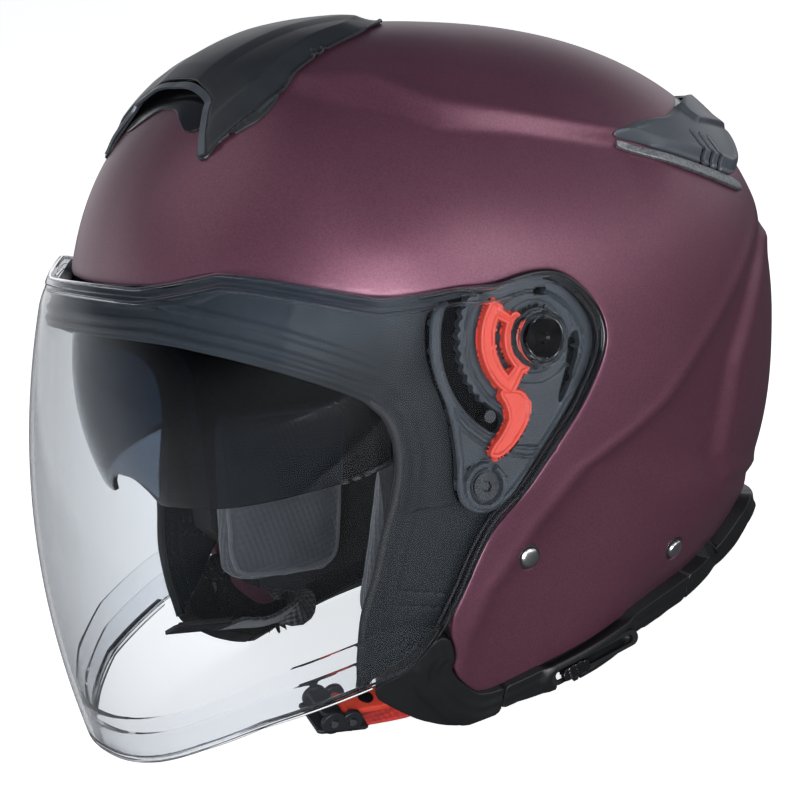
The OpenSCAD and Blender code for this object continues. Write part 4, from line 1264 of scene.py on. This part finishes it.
WING = [(32, 81), (54, 87.5), (74, 89), (88, 97), (98, 98), (160, 98), (160, 86), (121, 84.5), (119, 81),
        (104, 64.3), (60, 75.5)]
wing_region = side(WING)
CREASE = [(20, 79), (38, 83), (53, 84.5), (87, 84), (119, 81.6), (170, 80)]


def wing_height(p):
    """The wing's bevel, its lighter face and the step block at the rear."""
    d = p / np.linalg.norm(p, axis=-1)[..., None]
    y, z = p[..., 1], p[..., 2]
    rise = 1.0 + 3.6 * smooth((d[..., 1] - 0.2) / 0.45)
    edge = wing_region(p)
    over = z - along(CREASE, y)
    bevel = -1.1 * smooth(over / 5.0)
    block = 1.6 * smooth((y - 80 - 0.5 * (89 - z)) / 2.5) * smooth((over + 1) / 2)
    low = 0.5 * smooth((2.0 - np.abs(edge - 2.0)) / 0.8)
    return lerp(0.6, 1.0, smooth(edge / 3)) * rise + bevel + block + low * smooth(-over / 2)


chevrons = []
for i in range(3):
    a, b, c = (79 + 5.2 * i, 82.5 - 1.3 * i), (82.5 + 5.2 * i, 76.5 - 1.3 * i), (80.5 + 5.2 * i, 71 - 1.3 * i)
    chevrons += [capsule(a, b, 1.0), capsule(b, c, 1.0)]
left_half = window(0, -0.05, 200)
wing_mesh = patch(shell_at(0, True, wing_height), spread(0.2, math.pi / 2 + 0.02, 290),
                  spread(0.3, 1.0, 150), both(wing_region, cut_out(any_of(*chevrons)), left_half),
                  wall=1.4, bevel=0.4)
piece("rear_vent_wings", mirrored(*wing_mesh), VENT_GREY, sharp=28,
      replaces=["rear_vent"])
duct_mesh = patch(shell_at(0.3, True), spread(0.2, math.pi - 0.2, 200), spread(0.28, 1.2, 80),
                  side(WING, 1.5), wall=0.5, bevel=0.2)
piece("rear_duct_floor", duct_mesh, GLOSS_BLACK)
STRIP = [(33, 80.2), (60, 74.6), (106, 63.4), (109, 59.4), (104, 59.4), (60, 70.9), (37, 76.4)]
strip_mesh = patch(shell_at(1.9, True), spread(0.1, 1.25, 160), spread(0.25, 0.9, 90),
                   side(STRIP), wall=1.4, bevel=0.5)
piece("sparkle_strips", mirrored(*strip_mesh), SPARKLE,
      replaces=["vent_strip_left", "vent_strip_right"])

# ---------- rivets ----------


def rivet(place):
    """A domed cap in a dark ring, square to the shell."""
    spot = on_shell(place[0], place[1])
    n = Vector(shell_normal(spot[None])[0])
    square_on = Vector((1, 0, 0)).rotation_difference(n).to_matrix()
    dome = [(-6, 3.9), (0.2, 3.9), (0.75, 3.5), (1.15, 2.6), (1.35, 1.3), (1.4, 0.01)]
    ring = [(-4.0, 4.0), (-0.4, 4.0), (-0.1, 4.3), (-0.3, 4.8), (-4.0, 4.8)]
    return [placed(turned((0, 0), profile, 48), square_on, spot) for profile in (dome, ring)]


domes, rings = zip(*map(rivet, RIVETS))
piece("rivet_domes", mirrored(*joined(*domes)), STEEL, sharp=50, replaces=["rivet_caps"])
piece("rivet_gaps", mirrored(*joined(*rings)), RUBBER)

# ---------- strap and buckle ----------

START = [(111.6, -5, -79), (110.4, -5, -88), (107.2, -5, -99), (103.2, -5, -110), (99, -5.5, -118),
         (93.5, -6, -122.6), (86, -6, -124.2), (79.5, -9, -127)]
START_ACROSS = [(0, 1, 0), (0, 1, 0), (0, 1, 0), (0, 1, 0.1), (0, 1, 0.3), (0, 0.93, 0.37),
                (0, 0.93, 0.37), (0.3, 0.9, 0.2)]
BUCKLE_LEAN = math.radians(25)
BUCKLE_PLACE = (54, -57, -142.5)
BUCKLE_ACROSS = (math.cos(BUCKLE_LEAN), 0, -math.sin(BUCKLE_LEAN))


def webbing(points, across, w):
    path = spline(points, 70)
    side_way = spline(across, 70)
    return keep_above_rim(sweep(path, side_way, strap_section(w, 1.7)))


left_path = START + [(72, -14.5, -131.5), (64, -21, -137), (57, -27.5, -141.5), (53.5, -36, -144.6),
                     (52.4, -45.7, -145.9)]
left_across = START_ACROSS + [(0.5, 0.7, -0.1), (0.7, 0.6, -0.3), (0.85, 0.25, -0.4)] + [BUCKLE_ACROSS] * 2
piece("red_webbing_left", webbing(left_path, left_across, 16), RED_WEB,
      replaces=["strap_left"])
right_path = START + [(74, -19, -129), (67, -33, -130), (60, -50, -128.5)]
right_across = START_ACROSS + [(0.5, 0.7, 0), (0.7, 0.4, -0.2), (0.85, 0.2, -0.34)]
piece("black_webbing_right", flipped(*webbing(right_path, right_across, 18)), BLACK_WEB,
      replaces=["strap_right"])


def buckle_part(mesh):
    """From the buckle's own frame to the worn frame."""
    c, s = math.cos(BUCKLE_LEAN), math.sin(BUCKLE_LEAN)
    x, y, z = np.moveaxis(np.asarray(mesh[0], float), -1, 0)
    return np.stack([c * x + s * z, y, -s * x + c * z], -1) + BUCKLE_PLACE, mesh[1]


def cheek_plate(x):
    """One side plate of the buckle, with a round lobe about each pin."""
    lobes = any_of(circle((-5, 0), 5.0), circle((3, 0), 4.6), box2(-9, 7, -4.3, -1.0))
    holes = any_of(circle((-5, 0), 1.6), circle((3, 0), 1.6))
    return patch(flat(x), grid(-11, 9, 0.5), grid(-6, 6, 0.5), both(lobes, cut_out(holes)), wall=2.0,
                 bevel=0.4)


def deck(z):
    """The level plane at z."""
    return lambda x, y: np.stack([x, y, z + 0 * x], -1)


tray = patch(deck(-2.9), grid(-10, 10, 0.8), grid(-11, 11, 0.8), slab(10, -11, 11), wall=1.4, bevel=0.4)
bridge = patch(deck(4.0), grid(-8.6, 8.6, 0.8), grid(-10, -1, 0.8), slab(8.4, -9.5, -1.2), wall=1.6,
               bevel=0.5)
buckle_case = joined(cheek_plate(10), cheek_plate(-8), tray, bridge)
piece("buckle_case", buckle_part(buckle_case), VENT_BLACK, replaces=["buckle_body"])


def tab_surface(y, x):
    """Top of the red pull tab: crowned, tipped up and flared towards its end."""
    rise = 2.5 + (y - 3) * math.tan(math.radians(8)) + 0.8 * smooth((y - 14) / 10)
    crown_drop = 0.010 * x * x
    grip = 0.3 * np.sin(y * 2.2) * smooth((y - 17) / 2) * smooth((6.2 - np.abs(x)) / 1.0)
    return np.stack([x, y, rise - crown_drop + grip], -1)


def tab_test(p):
    x, y = p[..., 0], p[..., 1]
    half = 6.2 + 0.8 * smooth((y - 10) / 10)
    return np.minimum(half - np.abs(x), np.minimum(y - 2.2, 26.2 - y - 0.05 * x * x))


tab_mesh = patch(tab_surface, grid(1, 28, 0.45), grid(-8, 8, 0.45), tab_test, wall=2.2, bevel=0.7, flip=True)
barrel = sweep([(-6.9, 3, 0), (6.9, 3, 0)], [(0, 1, 0), (0, 1, 0)], round_bar(2.5, 24))
piece("buckle_tab_red", buckle_part(joined(tab_mesh, barrel)), RED_PLASTIC, "buckle_lever",
      replaces=["buckle_lever"])


def inset_test(p):
    """An oval on the tab; its distance is in parts of the oval's own size."""
    return 1 - np.hypot(p[..., 0] / 3.9, (p[..., 1] - 12.2) / 3.1)


inset_mesh = patch(lambda y, x: tab_surface(y, x) + (0, 0, 0.25), grid(8, 17, 0.45), grid(-4.6, 4.6, 0.45),
                   inset_test, wall=0.5, bevel=0.04, flip=True)
piece("buckle_tab_inset", buckle_part(inset_mesh), GLOSS_BLACK, "buckle_lever")

# ---------- small moving parts ----------

KNOB_MIDDLE = (20.1, -124.9)
KNOB_RIBS = 1.9                  # radians of the rib wave in a millimetre


def knob_height(y, z):
    """Cross ribs over the visor slider's knob."""
    away = (y - KNOB_MIDDLE[0]) * math.cos(SLIDE_SLOPE) + (z - KNOB_MIDDLE[1]) * math.sin(SLIDE_SLOPE)
    return 0.45 * smooth((np.sin(away * KNOB_RIBS) - 0.1) / 0.5) + 0.5 * smooth((np.abs(away) - 3.2) / 0.8)


def along_slide(d):
    return SLIDE_START[0] + d * math.cos(SLIDE_SLOPE), SLIDE_START[1] + d * math.sin(SLIDE_SLOPE)


knob = patch(flat(107.7, knob_height), grid(10, 30, 0.4), grid(-132, -118, 0.4),
             capsule(along_slide(2.5), along_slide(10.5), 2.4), wall=2.4, bevel=0.35)
stem = patch(flat(105.6), grid(10, 30, 0.6), grid(-132, -118, 0.6),
             capsule(along_slide(4), along_slide(9), 1.35), wall=7.0, bevel=0.2)
piece("slider_knob", joined(knob, stem), GLOSS_BLACK, "visor_slider",
      replaces=["visor_slider"])

slat_turn = Matrix.Rotation(math.radians(36), 3, "X")


def slat(x, y):
    """Top face of the crown vent's sliding shutter, with grip ribs at its front."""
    grip = 0.35 * smooth((np.sin(y * 3.2) - 0.2) / 0.4) * smooth((-y - 1.5) / 0.6)
    grip = grip * smooth((7 - np.abs(x)) / 1.0)
    return np.stack([x, y, 0.25 + grip], -1)


slat_mesh = patch(slat, grid(-19, 19, 0.6), grid(-7, 7, 0.4), slab(18, -6, 6), wall=0.8, bevel=0.3)
piece("crown_vent_slide", placed(slat_mesh, slat_turn, (0, -88, 104.3)), VENT_GREY, "top_vent_slider",
      replaces=["top_vent_slider"])

tongue_turn = Matrix.Rotation(math.radians(22), 3, "Y")


def tongue_surface(x, y):
    """Ratchet tongue: a fine saw-tooth rack between two smooth rails."""
    toothed = smooth((5.6 - np.abs(x)) / 0.3) * smooth((y + 26) / 0.5) * smooth((-7 - y) / 0.5)
    saw = 0.9 * (1 - (y / 1.9) % 1.0) * toothed
    return np.stack([x, y, 0.5 + saw + 0.7 * smooth((np.abs(x) - 6.2) / 0.4)], -1)


def tongue_test(p):
    corner = 0.12 * np.maximum(-p[..., 1] - 20, 0) ** 1.6
    return np.minimum(9 - corner - np.abs(p[..., 0]), np.minimum(p[..., 1] + 28, -2 - p[..., 1]))


rack = patch(tongue_surface, grid(-10, 10, 0.5), grid(-29, -1, 0.24), tongue_test, wall=1.7, bevel=0.4)
piece("ratchet_rack", flipped(*placed(rack, tongue_turn, (59.4, -50.4, -128.3))), RUBBER,
      replaces=["ratchet_tongue"])

# ---------- padding ----------

LINER = 33


def puff(obj, voxel, pressure=4.0, cap=0.004, shrink=0.0015):
    """Remeshes a pad, lets cloth pressure round it out, and keeps every point within cap of its start."""
    remesh = obj.modifiers.new("remesh", "REMESH")
    remesh.mode, remesh.voxel_size = "VOXEL", voxel
    apply_modifiers(obj)
    mesh = obj.data
    start = np.array([v.co[:] for v in mesh.vertices])
    normals = np.array([v.normal[:] for v in mesh.vertices])
    inner = start - normals * shrink
    mesh.vertices.foreach_set("co", inner.ravel())
    cloth = obj.modifiers.new("cloth", "CLOTH")
    cloth.settings.use_pressure = True
    cloth.settings.uniform_pressure_force = pressure
    cloth.settings.effector_weights.gravity = 0
    cloth.settings.quality = 5
    cloth.settings.tension_stiffness = 18
    cloth.point_cache.frame_start, cloth.point_cache.frame_end = 1, 20
    scene = bpy.context.scene
    for f in range(1, 21):
        scene.frame_set(f)
    apply_modifiers(obj)
    scene.frame_set(1)
    moved = np.array([v.co[:] for v in obj.data.vertices]) - start
    size = np.linalg.norm(moved, axis=1)[:, None] + 1e-12
    obj.data.vertices.foreach_set("co", (start + moved * np.minimum(1, cap / size)).ravel())
    even = obj.modifiers.new("even", "SMOOTH")
    even.factor, even.iterations = 0.5, 4
    apply_modifiers(obj)
    fine = obj.modifiers.new("fine", "SUBSURF")
    fine.levels = fine.render_levels = 1
    apply_modifiers(obj)
    obj.data.shade_smooth()


def apply_modifiers(obj):
    """Bakes the object's modifiers into its mesh."""
    bpy.context.view_layer.update()
    shape = obj.evaluated_get(bpy.context.evaluated_depsgraph_get())
    mesh = bpy.data.meshes.new_from_object(shape)
    mats = list(obj.data.materials)
    obj.modifiers.clear()
    obj.data = mesh
    mesh.materials.clear()
    for m in mats:
        mesh.materials.append(m)


def pad(name, mesh, voxel, replaces, cap=0.004):
    obj = piece(name, mesh, KNIT, sharp=0, replaces=replaces)
    puff(obj, voxel, cap=cap)
    return obj


def hull_of_balls(balls):
    """Convex body round balls of (centre, radius)."""
    shape = bmesh.new()
    for centre, r in balls:
        made = bmesh.ops.create_icosphere(shape, subdivisions=3, radius=r)
        bmesh.ops.translate(shape, verts=made["verts"], vec=centre)
    made = bmesh.ops.convex_hull(shape, input=shape.verts)
    loose = [g for g in made["geom_interior"] + made["geom_unused"] if isinstance(g, bmesh.types.BMVert)]
    bmesh.ops.delete(shape, geom=list(set(loose)), context="VERTS")
    shape.verts.index_update()
    verts = np.array([v.co[:] for v in shape.verts])
    faces = [[v.index for v in f.verts] for f in shape.faces]
    shape.free()
    return verts, faces


def stitched(name, target, path, radius, lift=0.3, stitch=False):
    """Piping or a row of stitches laid on a pad along a path."""
    tree = BVHTree.FromObject(target, bpy.context.evaluated_depsgraph_get())
    spots, ups = [], []
    for q in stand(path):
        place, normal, _, _ = tree.find_nearest(Vector(q))
        spots.append(place + normal * lift * MM)
        ups.append(normal)
    spots, ups = np.array(spots), np.array(ups)
    for _ in range(3):
        spots[1:-1] = (spots[:-2] + spots[1:-1] * 2 + spots[2:]) / 4
    section = np.array(round_bar(radius, 6 if stitch else 10)) * MM
    if stitch:
        starts = range(0, len(spots) - 2, 3)
        verts, faces = joined(*[sweep(spots[i:i + 3], ups[i:i + 3], section) for i in starts])
    else:
        verts, faces = sweep(spots, ups, section)
    new_object(name, verts, faces, PIPING, sharp=60)


CHEEK = [((78, -44, -46), 8.4), ((78, 8, -42), 8.4), ((66, -42, -102), 11.4), ((66, -6, -100), 11.4)]
cheek_mesh = hull_of_balls(CHEEK)
ring_path = spline([(71, -49, -44), (70, -18, -37), (71, 12, -40), (63, 10, -72), (55.5, 2, -104),
                    (56, -24, -110), (56, -50, -106), (63, -52, -74)], 150, True)
seam_path = spline([(67, -50, -70), (62, -30, -66), (62, -8, -68), (66, 6, -64)], 90)
for side_name, sign in (("left", 1), ("right", -1)):
    body_mesh = cheek_mesh if sign > 0 else flipped(*cheek_mesh)
    cheek = pad("cheek_pad_" + side_name + "_fabric", body_mesh, 0.0045, ["cheek_pad_" + side_name], 0.0035)
    stitched("cheek_piping_" + side_name, cheek, np.vstack([ring_path, ring_path[:1]]) * (sign, 1, 1), 1.0)
    stitched("cheek_stitches_" + side_name, cheek, seam_path * (sign, 1, 1), 0.35, 0.15, True)

CROWN = [(-92, 30), (-60, 12), (20, 5), (100, -5), (140, -5), (140, 200), (-92, 200)]


def channel(x, y0, y1):
    """A long round-ended air channel in the top view."""
    return lambda p: 4 - np.hypot(p[..., 0] - x, np.maximum(np.maximum(y0 - p[..., 1], p[..., 1] - y1), 0))


channels = any_of(*[channel(x, a, b) for x in (-30, -10, 10, 30) for a, b in ((-40, 0), (30, 60))])
crown_test = both(side(CROWN), lambda p: np.where(p[..., 2] > 30, -channels(p), 50.0))
crown_mesh = patch(shell_at(-LINER - 2.4, False), spread_round(170),
                   spread(-0.1, math.pi / 2 - 0.02, 90), crown_test, wall=6.0, bevel=1.5, wrap=True)
crown = pad("crown_pad_fabric", crown_mesh, 0.0045, ["crown_pad"], 0.0025)
brow_path = spline([(-70, -62, 23), (-50, -86, 29), (0, -95, 31), (50, -86, 29), (70, -62, 23)], 160)
stitched("crown_piping", crown, brow_path, 1.1)

ROLL = [(34, -84), (150, -44), (150, -14), (34, -56)]
roll_mesh = patch(shell_at(-LINER - 3.2, False), spread(0.0, math.pi, 150), spread(-0.9, -0.05, 60),
                  side(ROLL, 0.8), wall=9.5, bevel=3.5)
roll = pad("neck_roll_fabric", roll_mesh, 0.0048, ["neck_roll"], 0.003)

# ---------- scene ----------


def area_light(name, place, aim, size, power, colour=(1, 1, 1)):
    data = bpy.data.lights.new(name, "AREA")
    data.shape, data.size, data.size_y = "RECTANGLE", size[0], size[1]
    data.energy, data.color = power, colour
    obj = add_object(name, data)
    obj.location = place
    obj.rotation_euler = (Vector(aim) - Vector(place)).to_track_quat("-Z", "Y").to_euler()
    return obj


def photo_camera():
    az, el, roll = map(math.radians, CAMERA_TURN)
    right = Vector((math.cos(az), math.sin(az), 0))
    back = Vector((math.sin(az) * math.cos(el), -math.cos(az) * math.cos(el), math.sin(el)))
    up = back.cross(right)
    x_axis = right * math.cos(roll) + up * math.sin(roll)
    y_axis = up * math.cos(roll) - right * math.sin(roll)
    data = bpy.data.cameras.new("photo_camera")
    data.lens, data.sensor_width = 119.9, 36
    data.clip_start, data.clip_end = 0.05, 60
    obj = add_object("photo_camera", data)
    axes = [turn(x_axis), turn(y_axis), turn(back)]
    matrix = Matrix([[axes[c][r] for c in range(3)] for r in range(3)]).to_4x4()
    matrix.translation = Vector(stand(CAMERA_PLACE))
    obj.matrix_world = matrix
    bpy.context.scene.camera = obj


def studio_floor():
    """Pale floor just under the rim; its own light stays off the helmet, as with black cards round a set."""
    mesh = bpy.data.meshes.new("floor")
    mesh.from_pydata([(-12, -12, 0), (12, -12, 0), (12, 12, 0), (-12, 12, 0)], [], [(0, 1, 2, 3)])
    mesh.materials.append(look("pale_floor", (0.80, 0.80, 0.80), (0.84, 0.84, 0.84), (0.85, 0.95), 0.0,
                               (2.0, 0.05), 0.4, Emission_Color=(1, 1, 1, 1), Emission_Strength=0.82))
    obj = add_object("floor", mesh)
    obj.location.z = -0.0004
    obj.visible_diffuse = obj.visible_glossy = False
    return obj


def studio_sky():
    """A dim world with a bright band round the horizon."""
    world = bpy.data.worlds.new("studio")
    world.use_nodes = True
    sky = world.node_tree
    place = node(sky, "TexCoord")
    axes = node(sky, "SeparateXYZ")
    height = node(sky, "MapRange", From_Min=-1.0)
    ramp = two_colours(sky, (0.07, 0.07, 0.08), (0.07, 0.08, 0.10), 0.47, 0.70)
    for position in (0.495, 0.61):
        ramp.color_ramp.elements.new(position).color = (0.96, 0.97, 1.0, 1)
    wire(sky, place, "Generated", axes, "Vector")
    wire(sky, axes, "Z", height, "Value")
    wire(sky, height, "Result", ramp, "Fac")
    wire(sky, ramp, "Color", sky.nodes["Background"], "Color")
    bpy.context.scene.world = world


def light_only(lamps, group_name, objects):
    """Keeps the lamps' light to the objects."""
    group = bpy.data.collections.new(group_name)
    for obj in objects:
        group.objects.link(obj)
    for lamp in lamps:
        lamp.light_linking.receiver_collection = group


photo_camera()
floor = studio_floor()
studio_sky()
bpy.context.scene.view_settings.view_transform = "Standard"
high_front = area_light("high_front", (-0.55, -0.75, 1.35), (0, 0, 0.14), (1.1, 1.1), 2.9, (1.0, 0.98, 0.96))
area_light("left_rear", (1.45, 0.6, 0.52), (0, 0, 0.13), (0.7, 0.9), 6)
side_fill = area_light("side_fill", (1.5, -0.7, 0.16), (0, 0, 0.11), (0.9, 0.9), 36)
overhead = area_light("overhead_floor", (0.0, 0.0, 2.6), (0, 0, 0), (3.0, 3.0), 16)
panes = {CLEAR, CLEAR_LIP, SMOKE}
solids = [o for o in bpy.data.objects if o.type == "MESH" and not panes & set(o.data.materials[:])]
light_only([high_front, side_fill], "no_glare", solids)
light_only([overhead], "floor_only", [floor])
